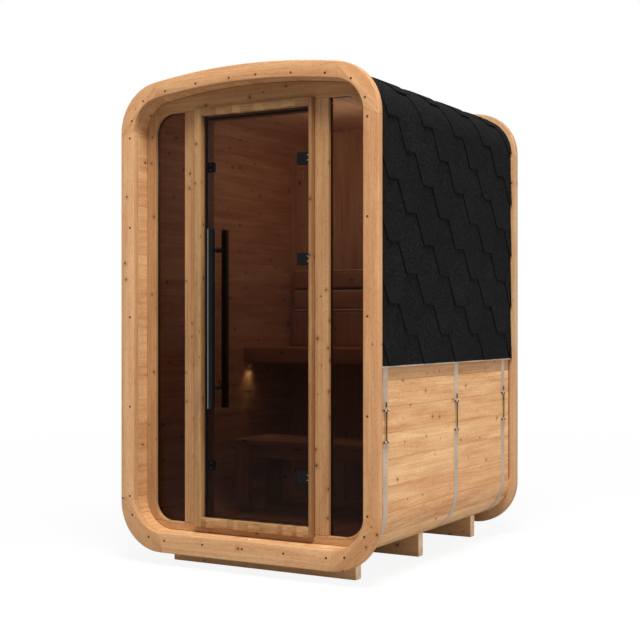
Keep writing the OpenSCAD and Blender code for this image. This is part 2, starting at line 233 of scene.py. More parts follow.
@dataclass(frozen=True)
class Pine:
    """Planed pine or spruce, oiled pale, with growth rings, streaks and small dark knots."""

    name: str
    pale: Rgba
    warm: Rgba
    knot_share: float = 0.17
    knot_cell: float = 0.075
    spread: float = 0.34
    knot: Rgba = seen(96, 50, 26)
    late: Rgba = seen(214, 178, 140)
    knot_low: float = 0.0024
    knot_more: float = 0.0044
    ring_pitch: float = 0.0062

    def build(self) -> bpy.types.Material:
        """Makes the material from the boards' grain and tone.

        Returns:
            The finished material.
        """
        g = Graph(self.name)
        tone = g.tone()
        x, y, z = g.node("SeparateXYZ", {0: g.grain()}).outputs
        across = g.plus(g.times(y, 1.25), g.times(g.fibres((6, 30, 30)), 0.004))
        flat = g.node("CombineXYZ", {0: x, 1: g.plus(across, g.times(z, 1.1))}).outputs[0]
        names = {"Vector": flat, "Scale": 1 / self.knot_cell}
        cell = g.node("TexVoronoi", names, voronoi_dimensions="2D").outputs
        away = g.times(cell["Distance"], self.knot_cell)
        dice = g.node("SeparateColor", {0: cell["Color"]}).outputs
        present = g.math("LESS_THAN", dice[0], self.knot_share)
        near = g.math("DIVIDE", away, g.math("MULTIPLY_ADD", dice[1], self.knot_more, self.knot_low))
        core = g.times(g.spread(near, 0.75, 1.15, 1.0, 0.0), present)
        halo = g.times(g.spread(near, 1.0, 4.0, 0.7, 0.0), present)
        push = g.times(g.spread(away, 0.0, 0.034, 0.013, 0.0), present)
        sway = g.times(g.fibres((0.8, 6, 6), 1.5), 0.07)
        lean = g.math("MULTIPLY_ADD", g.math("FRACT", g.times(tone, 7.3)), 0.7, 0.15)
        depth = g.plus(g.plus(g.plus(g.times(y, lean), g.times(z, 0.7)), sway), push)
        wave = g.math("SINE", g.times(depth, 2 * math.pi / self.ring_pitch))
        ring = g.math("POWER", g.math("MULTIPLY_ADD", wave, 0.5, 0.5), 2.5)
        flame, thin = g.fibres((2.6, 17, 17), 4.0, 0.62), g.fibres((1.1, 60, 60), 3.0, 0.6)
        streak = g.plus(g.times(flame, 0.62), g.times(thin, 0.38))
        fibre = g.fibres((14, 420, 420))
        fleck = g.fibres((50, 150, 150), 3.0, 0.6)
        patch = g.times(g.math("SUBTRACT", streak, 0.44), 3.4)
        share = g.plus(g.times(tone, self.spread), patch, clamp=True)
        colour = g.blend(share, self.pale, self.warm)
        late = g.blend(1.0, colour, self.late, "MULTIPLY")
        for amount in (g.times(ring, 0.18), g.times(fibre, 0.22), g.spread(fleck, 0.45, 0.7, 0.0, 0.35)):
            colour = g.blend(amount, colour, late)
        colour = g.blend(halo, colour, g.blend(0.4, colour, self.knot))
        colour = g.blend(core, colour, self.knot)
        height = g.math("SUBTRACT", g.times(fibre, 0.6), g.times(ring, 0.5))
        return g.solid(colour, g.math("MULTIPLY_ADD", streak, 0.22), 0.35, height, 0.0004, 0.7)


@dataclass(frozen=True)
class BronzeGlass:
    """Toughened glass tinted bronze through its thickness, with polished faces."""

    name: str = "bronze_glass"
    tint: Rgba = (0.49, 0.455, 0.45, 1.0)

    def build(self) -> bpy.types.Material:
        """Makes the material: tinted light goes through, and a little is mirrored.

        Returns:
            The finished material.
        """
        g = Graph(self.name)
        haze = g.spread(g.noise(g.grain(), 3.0), 0.3, 0.7, 0.02, 0.05)
        clear = g.node("BsdfTransparent", {"Color": self.tint}).outputs[0]
        mirror = g.node("BsdfGlossy", {"Color": WHITE, "Roughness": haze}).outputs[0]
        share = g.node("Fresnel", {"IOR": 1.18}).outputs[0]
        return g.surface(g.node("MixShader", {0: share, 1: clear, 2: mirror}))


@dataclass(frozen=True)
class Plain:
    """A hard or soft coating with fine speckle: paint, seal, zinc, glass edge, cut bitumen or a dark filler
    strip; some of them carry painted highlight, painted light or painted shade.
    """

    name: str
    low: Rgba
    high: Rgba
    roughness: float
    metal: float = 0.0
    cell: float = 0.002
    shine: float = 0.5
    depth: float = 0.0001

    def build(self) -> bpy.types.Material:
        """Makes the material from speckle in the object's own space.

        Returns:
            The finished material.
        """
        g = Graph(self.name)
        speck = g.noise(g.place(), 1 / self.cell, 2.0, 0.6)
        cloud = g.noise(g.place(), 9.0, 3.0)
        share = g.spread(g.math("MULTIPLY", g.plus(speck, cloud), 0.5, clamp=True), 0.3, 0.7, 0.0, 1.0)
        rough = g.math("MULTIPLY_ADD", cloud, 0.14, self.roughness - 0.07)
        colour = g.blend(share, self.low, self.high)
        return g.solid(colour, rough, self.shine, speck, self.depth, 0.6, self.metal)


@dataclass(frozen=True)
class Bitumen:
    """Near-black mineral granules pressed into a bitumen shingle."""

    name: str = "bitumen_granules"
    low: Rgba = seen(1, 1, 1)
    high: Rgba = seen(31, 31, 32)

    def build(self) -> bpy.types.Material:
        """Makes the material: grains about a millimetre wide, in clouds, with a tone for each tab.

        Returns:
            The finished material.
        """
        g = Graph(self.name)
        grit = g.node("TexVoronoi", {"Vector": g.grain(), "Scale": 620.0}).outputs
        speck = g.node("SeparateColor", {0: grit["Color"]}).outputs[0]
        cloud = g.noise(g.grain(), 16.0, 5.0, 0.68)
        blotch = g.noise(g.grain(), 95.0, 3.0, 0.65)
        share = g.math("MULTIPLY_ADD", speck, 0.45, -0.05)
        for patches, strength in ((cloud, 1.3), (blotch, 3.2)):
            share = g.plus(share, g.times(g.math("SUBTRACT", patches, 0.5), strength))
        colour = g.blend(g.plus(share, g.times(g.tone(), 0.16), clamp=True), self.low, self.high)
        height = g.math("SUBTRACT", 1.0, grit["Distance"])
        return g.solid(colour, g.spread(cloud, 0.2, 0.8, 0.82, 0.95), 0.12, height, 0.0008, 0.8)


@dataclass(frozen=True)
class LampLens:
    """Frosted warm lens of the bench lamp."""

    name: str = "lamp_lens"
    glow: Rgba = (1.0, 0.8, 0.42, 1.0)

    def build(self) -> bpy.types.Material:
        """Makes the material: an even glow with a slight frosted unevenness.

        Returns:
            The finished material.
        """
        g = Graph(self.name)
        power = g.spread(g.noise(g.place(), 300.0), 0.2, 0.8, 3.0, 5.0)
        return g.surface(g.node("Emission", {"Color": self.glow, "Strength": power}))


class Finish(Enum):
    """Every finish of the cabin."""

    BOARD = Pine("pine_boards", seen(238, 196, 142), seen(206, 148, 98), spread=0.5)
    FRONT_RING = Pine("pine_rings", seen(224, 178, 130), seen(200, 146, 98), 0.08, spread=0.6)
    REAR_RING = Pine("pine_rear_ring", seen(216, 183, 141), seen(193, 150, 107), 0.08, spread=0.6)
    # Front wall pine; on the side walls it also serves as painted shade on the board just under the
    # shingles.
    WALL = Pine("pine_front_wall", seen(194, 150, 104), seen(162, 116, 74), 0.22, 0.06)
    JAMB = Pine("pine_jambs", seen(196, 156, 106), seen(152, 110, 70), 0.16, 0.06, 0.9)
    BENCH = Pine("pine_benches", seen(214, 166, 112), seen(180, 126, 80), 0.2)
    # Pale finish for the upper front edges of rails and cap: a painted highlight.
    PALE_EDGE = Pine("pine_eased_edges", seen(255, 246, 226), seen(250, 226, 190), 0.0)
    # Beams under the tube: pine painted paler as painted light, standing in for light the tube keeps off
    # them.
    BEAM = Pine("pine_beams", seen(255, 214, 160), seen(240, 184, 130), 0.3)
    # Beam end faces: paler still, more painted light.
    END_GRAIN = Pine("pine_end_grain", seen(250, 226, 190), seen(226, 192, 150), 0.0)
    # Dark reddish brown strip filling the outer part of the gap between the side boards and the rear ring.
    JOINT = Plain("brown_sealant", seen(104, 48, 32), seen(122, 60, 40), 0.7, shine=0.2)
    SEAL = Plain("brown_seal", seen(92, 62, 46), seen(112, 78, 58), 0.6, shine=0.2)
    # Inner handle: the same black metal as the outer one, painted olive grey as painted light from the room.
    INNER_BAR = Plain("olive_black_coat", seen(70, 68, 54), seen(84, 82, 66), 0.5, cell=0.0012)
    # Grey strip on the outer handle's left front chamfer: a painted highlight.
    BAR_EDGE = Plain("bright_bar_edge", seen(112, 116, 116), seen(132, 136, 136), 0.4, cell=0.0012)
    BLACK = Plain("black_powder_coat", seen(6, 7, 7), seen(18, 19, 19), 0.55, cell=0.0012, shine=0.18)
    GLASS = BronzeGlass()
    GLASS_EDGE = Plain("polished_glass_edge", seen(38, 40, 40), seen(72, 72, 70), 0.2, cell=0.01)
    GRANULES = Bitumen()
    # Tab edges and undersides: partly the real black of cut bitumen, partly painted shade lines along the
    # tab edges.
    CUT_BITUMEN = Plain("cut_bitumen", seen(3, 3, 3), seen(7, 7, 7), 0.9, shine=0.1)
    ZINC = Plain("zinc_strap", seen(176, 154, 132), seen(204, 182, 160), 0.5, 0.25, 0.006)
    # Darker zinc of the rods' threads; on the barrels it is painted shade for the dark open ends of the
    # loops.
    THREAD = Plain("zinc_thread", seen(76, 66, 44), seen(108, 94, 66), 0.5, 0.6, 0.003)
    SCREW = Plain("dark_screw", seen(22, 12, 7), seen(40, 24, 14), 0.7, shine=0.1)
    LENS = LampLens()

    @property
    def material(self) -> bpy.types.Material:
        """The finish's material, built when it is first asked for."""
        return bpy.data.materials.get(self.value.name) or self.value.build()


# ---------------------------------------------------------------- shapes


def polar(centre: Point, radius: float, turn: float) -> Point:
    """Finds the point at an angle, in radians from the first axis, round a centre."""
    return (centre[0] + radius * math.cos(turn), centre[1] + radius * math.sin(turn))


def arc(centre: Point, radius: float, start: float, end: float, count: int) -> list[Point]:
    """Draws an arc of count pieces from start to end, in radians from the first axis."""
    return [polar(centre, radius, start + (end - start) * i / count) for i in range(count + 1)]


def rounded_box(low: Point, high: Point, radius: float, steps: int) -> list[Point]:
    """Draws a rectangle with rounded or chamfered corners.

    Args:
        low: Lowest corner.
        high: Highest corner.
        radius: Corner radius.
        steps: Straight pieces in each corner; 1 is a chamfer.

    Returns:
        The outline, counter-clockwise.
    """
    points = []
    corners = ((high[0], low[1], -90), (high[0], high[1], 0), (low[0], high[1], 90), (low[0], low[1], 180))
    for x, y, start in corners:
        cx = x - radius if x == high[0] else x + radius
        cy = y - radius if y == high[1] else y + radius
        points += [polar((cx, cy), radius, math.radians(start + 90 * i / steps)) for i in range(steps + 1)]
    return points


def inset(points: Sequence[Point], amounts: Sequence[float]) -> list[Point]:
    """Moves each edge of an outline inwards.

    Args:
        points: The outline, counter-clockwise.
        amounts: How far each edge moves; edge i starts at point i.

    Returns:
        The smaller outline, with as many points.
    """
    normals = []
    for (x0, y0), (x1, y1) in zip(points, [*points[1:], points[0]]):
        length = math.hypot(x1 - x0, y1 - y0) or 1.0
        normals.append((-(y1 - y0) / length, (x1 - x0) / length))
    moved = []
    for i, (x, y) in enumerate(points):
        (ax, ay), (bx, by) = normals[i - 1], normals[i]
        a, b = amounts[i - 1], amounts[i]
        cross = ax * by - ay * bx
        if abs(cross) < 0.02:
            size = (a + b) / 2
            moved.append((x + size * (ax + bx) / 2, y + size * (ay + by) / 2))
        else:
            moved.append((x + (a * by - b * ay) / cross, y + (b * ax - a * bx) / cross))
    return moved


def clip(points: Sequence[Point], axis: int, low: float = -math.inf, high: float = math.inf) -> list[Point]:
    """Cuts an outline down to the part between two limits of one axis.

    Args:
        points: The outline.
        axis: 0 or 1, the axis that is limited.
        low: The lower limit.
        high: The upper limit.

    Returns:
        The part that stays.
    """
    for sign, limit in ((1, low), (-1, high)):
        kept = []
        for here, there in zip(points, [*points[1:], points[0]]):
            a, b = sign * (here[axis] - limit), sign * (there[axis] - limit)
            if a >= 0:
                kept.append(here)
            if a * b < 0:
                share = a / (a - b)
                kept.append(tuple(h + share * (t - h) for h, t in zip(here, there)))
        points = kept
    return points


def upper_edge(normal: Vector) -> bool:
    """Tells whether a face lies on the rounded upper front edge of a board, where the painted highlight
    goes.
    """
    return normal.z > 0.3 and normal.y < -0.3


def pane_edge(normal: Vector) -> bool:
    """Tells whether a face lies on the edge of an upright pane."""
    return abs(normal.y) < 0.9


def put(
    name: str, data: bpy.types.ID, place: Sequence[float] = (0, 0, 0), turn: Sequence[float] = (0, 0, 0)
) -> bpy.types.Object:
    """Puts a mesh, lamp or camera in the scene.

    Args:
        name: The object's name.
        data: Its mesh, lamp or camera.
        place: Where it stands.
        turn: Its rotation.

    Returns:
        The new object.
    """
    made = bpy.data.objects.new(name, data)
    made.location, made.rotation_euler = place, turn
    bpy.context.scene.collection.objects.link(made)
    return made


class Shape:
    """A mesh being made: skins with the wood's coordinates, a tone and a material each."""

    def __init__(self, seed: int) -> None:
        """Starts an empty mesh with its own source of chance.

        Args:
            seed: The seed of that source.
        """
        self.points: list[Vector] = []
        self.faces: list[list[int]] = []
        self.slots: list[int] = []
        self.grains: list[Vector] = []
        self.tones: list[float] = []
        self.rng = random.Random(seed)

    def log(self) -> Vector:
        """Picks a place in the tree by chance, for one board."""
        return Vector([self.rng.uniform(0, 40) for _ in range(3)])

    def straight(self, along: int, across: int) -> GrainRule:
        """Lays the grain along one axis, at a place of its own in the tree.

        Args:
            along: Axis of the grain.
            across: Axis across the board's face.

        Returns:
            A rule that gives the wood's coordinates at a point.
        """
        through, shift = 3 - along - across, self.log()
        return lambda p: Vector((p[along], p[across], p[through])) + shift

    def leaning(self, turn: float) -> GrainRule:
        """Lays the grain in the XZ plane, turned from X by an angle.

        Args:
            turn: The angle, in radians.

        Returns:
            A rule that gives the wood's coordinates at a point.
        """
        u, v = Vector((math.cos(turn), 0, math.sin(turn))), Vector((-math.sin(turn), 0, math.cos(turn)))
        shift = self.log()
        return lambda p: Vector((p.dot(u), p.dot(v), p.y)) + shift

    def bent(self, centre: Point, radius: float) -> GrainRule:
        """Lays the grain along Y on a board curved round a centre.

        Args:
            centre: Centre of the curve in X and Z.
            radius: Radius at which lengths across the board are true.

        Returns:
            A rule that gives the wood's coordinates at a point.
        """
        shift = self.log()

        def rule(p: Vector) -> Vector:
            """Gives the wood's coordinates at a point."""
            dx, dz = p.x - centre[0], p.z - centre[1]
            return Vector((p.y, math.atan2(dz, dx) * radius, math.hypot(dx, dz))) + shift

        return rule

    def skin(
        self, rings: Sequence[Sequence[Vector]], rule: GrainRule | None = None, tone: float = 0.5,
        slot: int = 0, closed: bool = False,
    ) -> None:
        """Joins rings of equal length, one after the other, and closes both ends.

        Args:
            rings: The rings, in order.
            rule: Gives the wood's coordinates at a point; left out, the point itself is taken.
            tone: The skin's tone.
            slot: Number of its material.
            closed: Whether the last ring joins the first, with no ends.
        """
        start, size = len(self.points), len(rings[0])
        points = [p for ring in rings for p in ring]
        self.points += points
        self.grains += [rule(p) if rule else p for p in points]
        self.tones += [tone] * len(points)
        for r in range(len(rings) if closed else len(rings) - 1):
            a, b = start + r * size, start + (r + 1) % len(rings) * size
            for i in range(size):
                j = (i + 1) % size
                self.faces.append([a + i, a + j, b + j, b + i])
        if not closed:
            last = start + (len(rings) - 1) * size
            self.faces += [list(range(start, start + size))[::-1], list(range(last, last + size))]
        self.slots += [slot] * (len(self.faces) - len(self.slots))

    def prism(
        self, outline: Sequence[Point], span: Point, along: Along, edge: float,
        rule: GrainRule | None = None, tone: float | None = None, steps: int = 1,
        eased: Sequence[bool] | None = None, slot: int = 0,
    ) -> None:
        """Extrudes an outline, with rounded or chamfered ends.

        Args:
            outline: The section, counter-clockwise.
            span: Where the piece starts and ends.
            along: Direction of the extrusion.
            edge: Radius of the edges round both ends.
            rule: Gives the wood's coordinates at a point.
            tone: The piece's tone; left out, it is drawn by chance.
            steps: Straight pieces in each rounded edge.
            eased: Which edges of the outline are rounded; left out, all are.
            slot: Number of its material.
        """
        keep = eased or [True] * len(outline)
        turns = [SQUARE * i / steps for i in range(steps + 1)]
        levels = [(edge * (1 - math.sin(t)), edge * (1 - math.cos(t))) for t in turns]
        stations = [(back, span[0] + depth) for back, depth in levels]
        stations += [(back, span[1] - depth) for back, depth in reversed(levels)]
        rings = []
        for back, at in stations:
            shape = inset(outline, [back if k else 0.0 for k in keep])
            rings.append([along.place(a, b, at) for a, b in shape])
        self.skin(rings, rule, self.rng.random() if tone is None else tone, slot)

    def board(
        self, low: Sequence[float], high: Sequence[float], along: Along, edge: float = 0.0015,
        tone: float | None = None, steps: int = 1, slot: int = 0,
    ) -> None:
        """Adds a straight board with eased edges, its grain along its length.

        Args:
            low: Lowest corner.
            high: Highest corner.
            along: Direction of its length.
            edge: Radius of its edges.
            tone: Its tone; left out, it is drawn by chance.
            steps: Straight pieces in each rounded edge.
            slot: Number of its material.
        """
        a, b = along.section
        across = a if high[a] - low[a] >= high[b] - low[b] else b
        outline = rounded_box((low[a], low[b]), (high[a], high[b]), edge, steps)
        span = (low[along.value], high[along.value])
        self.prism(outline, span, along, edge, self.straight(along.value, across), tone, slot=slot)

    def turned(
        self, profile: Sequence[Point], foot: Sequence[float], along: Along, sides: int, slot: int = 0,
        closed: bool = False,
    ) -> None:
        """Adds a round piece turned about an axis.

        Args:
            profile: Radius and height of each ring, from the foot up.
            foot: The axis's start.
            along: Direction of the axis.
            sides: Pieces round it.
            slot: Number of its material.
            closed: Whether the last ring joins the first, as in a pipe.
        """
        a, b = along.section
        rings = []
        for radius, height in profile:
            circle = arc((foot[a], foot[b]), radius, 0, 2 * math.pi, sides)[:-1]
            rings.append([along.place(x, y, foot[along.value] + height) for x, y in circle])
        self.skin(rings, slot=slot, closed=closed)

    def reslot(self, test: Callable[[Vector], bool], slot: int = 1, first: int = 0) -> None:
        """Gives another material to each face whose normal passes a test.

        Args:
            test: Tells from a face's normal whether it changes.
            slot: Number of the other material.
            first: Number of the first face that is tested.
        """
        for i, face in enumerate(self.faces[first:], first):
            a, b, c = (self.points[k] for k in face[:3])
            normal = (b - a).cross(c - a)
            if normal.length and test(normal.normalized()):
                self.slots[i] = slot

    def piece(
        self, name: str, slot: str, finishes: Sequence[Finish], replaces: Sequence[str] = (),
        body: str = CABIN, smooth: float = 32,
    ) -> None:
        """Turns the mesh into a piece of the cabin.

        Args:
            name: The piece's name.
            slot: Not used.
            finishes: Its materials, by number.
            replaces: CAD nodes that it stands for.
            body: The body it rides on.
            smooth: Edges flatter than this angle are shaded smooth, in degrees.
        """
        mesh = bpy.data.meshes.new(name)
        mesh.from_pydata([tuple(p) for p in self.points], [], self.faces)
        mesh.polygons.foreach_set("material_index", self.slots)
        grains = mesh.attributes.new("grain", "FLOAT_VECTOR", "POINT")
        grains.data.foreach_set("vector", [c for g in self.grains for c in g])
        mesh.attributes.new("tone", "FLOAT", "POINT").data.foreach_set("value", self.tones)
        work = bmesh.new()
        work.from_mesh(mesh)
        bmesh.ops.recalc_face_normals(work, faces=work.faces)
        work.to_mesh(mesh)
        work.free()
        mesh.polygons.foreach_set("use_smooth", [True] * len(mesh.polygons))
        mesh.set_sharp_from_angle(angle=math.radians(smooth))
        for finish in finishes:
            mesh.materials.append(finish.material)
        made = put(name, mesh)
        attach(made, body)
        if replaces:
            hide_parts(*replaces)
        LOG.info("%s: %d faces, rides on %s", name, len(mesh.polygons), body)


# ---------------------------------------------------------------- the tube


class Tube:
    """The cabin's outline: flat foot, straight sides, round corners and an arched top."""

    def __init__(self) -> None:
        """Measures the outline on the CAD's front ring, floor and right wall."""
        low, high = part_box("front_ring")
        self.half_w, self.crown_z, self.sole = high.x, high.z, low.z
        low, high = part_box("floor_deck")
        self.corner_x, self.board_low, self.floor_z = high.x, low.z, high.z
        low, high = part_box("right_wall")
        self.wall_x, self.corner_z = low.x, high.z
        self.back = self.half_w - self.wall_x
        self.corner_r = self.half_w - self.corner_x
        self.small = self.corner_r - self.back
        rise = self.crown_z - self.corner_z
        self.crown_r = (self.corner_r**2 - self.corner_x**2 - rise**2) / (2 * (self.corner_r - rise))
        self.crown_centre = (0.0, self.crown_z - self.crown_r)
        self.lean = math.asin(self.corner_x / (self.crown_r - self.corner_r))

    def outline(self, back: float, sole: float, step: float) -> list[Point]:
        """Draws a whole outline.

        Args:
            back: How far it lies inside the rings' outline.
            sole: Height of its underside.
            step: Longest piece of its curves.

        Returns:
            Points in X and Z, counter-clockwise from the lower left.
        """
        r, big, x = self.corner_r - back, self.crown_r - back, self.corner_x
        quarter = max(4, round(r * SQUARE / step))
        top = max(8, round(2 * big * self.lean / step))
        points = [(-x, sole)]
        points += arc((x, sole + r), r, -SQUARE, 0, quarter)
        points += arc((x, self.corner_z), r, 0, SQUARE - self.lean, quarter)
        points += arc(self.crown_centre, big, SQUARE - self.lean, SQUARE + self.lean, top)[1:]
        points += arc((-x, self.corner_z), r, SQUARE + self.lean, math.pi, quarter)[1:]
        points += arc((-x, sole + r), r, math.pi, 3 * SQUARE, quarter)[:-1]
        return points

    def cabin(self, step: float = 0.02) -> list[Point]:
        """Draws the outline of the room inside, where the walls fit."""
        return self.outline(self.back, self.floor_z, step)

    def walk(self, back: float, run: float, lift: float) -> Point:
        """Finds a point on the right of the skin, measured along it from the crown.

        Args:
            back: How far the skin lies inside the rings' outline.
            run: Distance along the skin from the crown's middle.
            lift: Height over the skin.

        Returns:
            The point in X and Z.
        """
        big, r = self.crown_r - back, self.corner_r - back
        first = big * self.lean
        second = first + r * (SQUARE - self.lean)
        if run > second:
            return (self.corner_x + r + lift, self.corner_z - (run - second))
        if run <= first:
            return polar(self.crown_centre, big + lift, SQUARE - run / big)
        return polar((self.corner_x, self.corner_z), r + lift, SQUARE - self.lean - (run - first) / r)

    def length(self, back: float, z: float) -> float:
        """Distance along the skin from the crown's middle down to height z."""
        big, r = self.crown_r - back, self.corner_r - back
        return big * self.lean + r * (SQUARE - self.lean) + self.corner_z - z


@dataclass
class TubeBoards:
    """The boards of the floor, walls, ceiling and corners, laid front to back."""

    tube: Tube
    wall_count: int = 15
    corner_count: int = 3
    floor_count: int = 11
    roof_count: int = 12
    gap: float = 0.0003
    groove: float = 0.0011
    bend: float = 0.012
    rear_gap: float = 0.013
    joint_t: float = 0.006
    joint_back: float = 0.0006

    def build(self) -> None:
        """Makes the eight groups of boards."""
        t = self.tube
        self.floor()
        for side in Side:
            self.wall(side)
        low_centre, top_centre = (t.corner_x, t.floor_z + t.small), (t.corner_x, t.corner_z)
        end = SQUARE - t.lean
        for side in Side:
            name = f"{side.word}_corner"
            self.curved(f"lower_{name}", side, low_centre, t.small, (-SQUARE, 0.0), self.corner_count)
            self.curved(f"upper_{name}", side, top_centre, t.small, (0.0, end), self.corner_count)
        reach = t.crown_r - t.back
        self.curved("roof_deck", Side.RIGHT, t.crown_centre, reach, (end, SQUARE + t.lean), self.roof_count)

    def floor(self) -> None:
        """Lays the floor boards."""
        low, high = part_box("floor_deck")
        shape = Shape(11)
        width = (high.x - low.x) / self.floor_count
        for i in range(self.floor_count):
            x = low.x + i * width
            shape.board((x + self.gap, *low[1:]), (x + width - self.gap, *high[1:]), Along.Y, self.groove)
        shape.piece("floor_boards", "pine", [Finish.BOARD], ["floor_deck"])

    def wall(self, side: Side) -> None:
        """Stacks one side wall's boards, with the outer face of the board at the shingles' edge painted
        darker as painted shade, and a dark brown strip in the joint at the rear ring.

        Args:
            side: Which side of the cabin.
        """
        low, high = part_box(f"{side.word}_wall")
        shape = Shape(21 + side.value)
        height = (high.z - low.z) / self.wall_count
        low_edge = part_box("shingle_cover")[0].z
        end = high.y - self.rear_gap
        for i in range(self.wall_count):
            z = low.z + i * height
            first = len(shape.faces)
            top = z + height - self.gap
            shape.board((low.x, low.y, z + self.gap), (high.x, end, top), Along.Y, self.groove)
            # The board at the shingles' edge takes slot 2 on its outer face: painted shade under the
            # shingles.
            if low_edge - height < z < low_edge:
                shape.reslot(lambda n: n.x * side.value < -0.5, 2, first)
        near, face = sorted((abs(low.x), abs(high.x)))
        face -= self.joint_back
        split = face - self.joint_t
        for slot, reach in enumerate(((near, split), (split, face))):
            x0, x1 = sorted(side.value * x for x in reach)
            shape.board((x0, end, low.z), (x1, high.y, high.z), Along.Z, 0.0002, slot=slot)
        finishes = [Finish.BOARD, Finish.JOINT, Finish.WALL]
        shape.piece(f"{side.word}_wall_boards", "pine", finishes, [f"{side.word}_wall"])

    def curved(self, node: str, side: Side, centre: Point, inner: float, row: Point, count: int) -> None:
        """Bends a row of boards round a centre.

        Args:
            node: The CAD node that they stand for.
            side: Left boards mirror right ones.
            centre: Centre of the curve on the right.
            inner: Inner radius.
            row: Angles where the row starts and ends, from +X.
            count: Number of boards.
        """
        t, c = self.tube, self.groove
        outer = inner + t.floor_z - t.board_low
        low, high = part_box(node)
        shape = Shape(31 + len(node) + 7 * side.value)
        for i in range(count):
            a = row[0] + (row[1] - row[0]) * i / count + self.gap / outer
            b = row[0] + (row[1] - row[0]) * (i + 1) / count - self.gap / outer
            n = max(3, round((b - a) * outer / self.bend))
            outline = [polar(centre, outer - c, a), *arc(centre, outer, a + c / outer, b - c / outer, n)]
            outline += [polar(centre, outer - c, b), polar(centre, inner + c, b)]
            outline += [*arc(centre, inner, b - c / inner, a + c / inner, n), polar(centre, inner + c, a)]
            rule = shape.bent(side.turn([centre])[0], outer)
            shape.prism(side.turn(outline), (low.y, high.y), Along.Y, 0.001, rule)
        shape.piece(f"{node}_boards", "pine", [Finish.BOARD], [node])


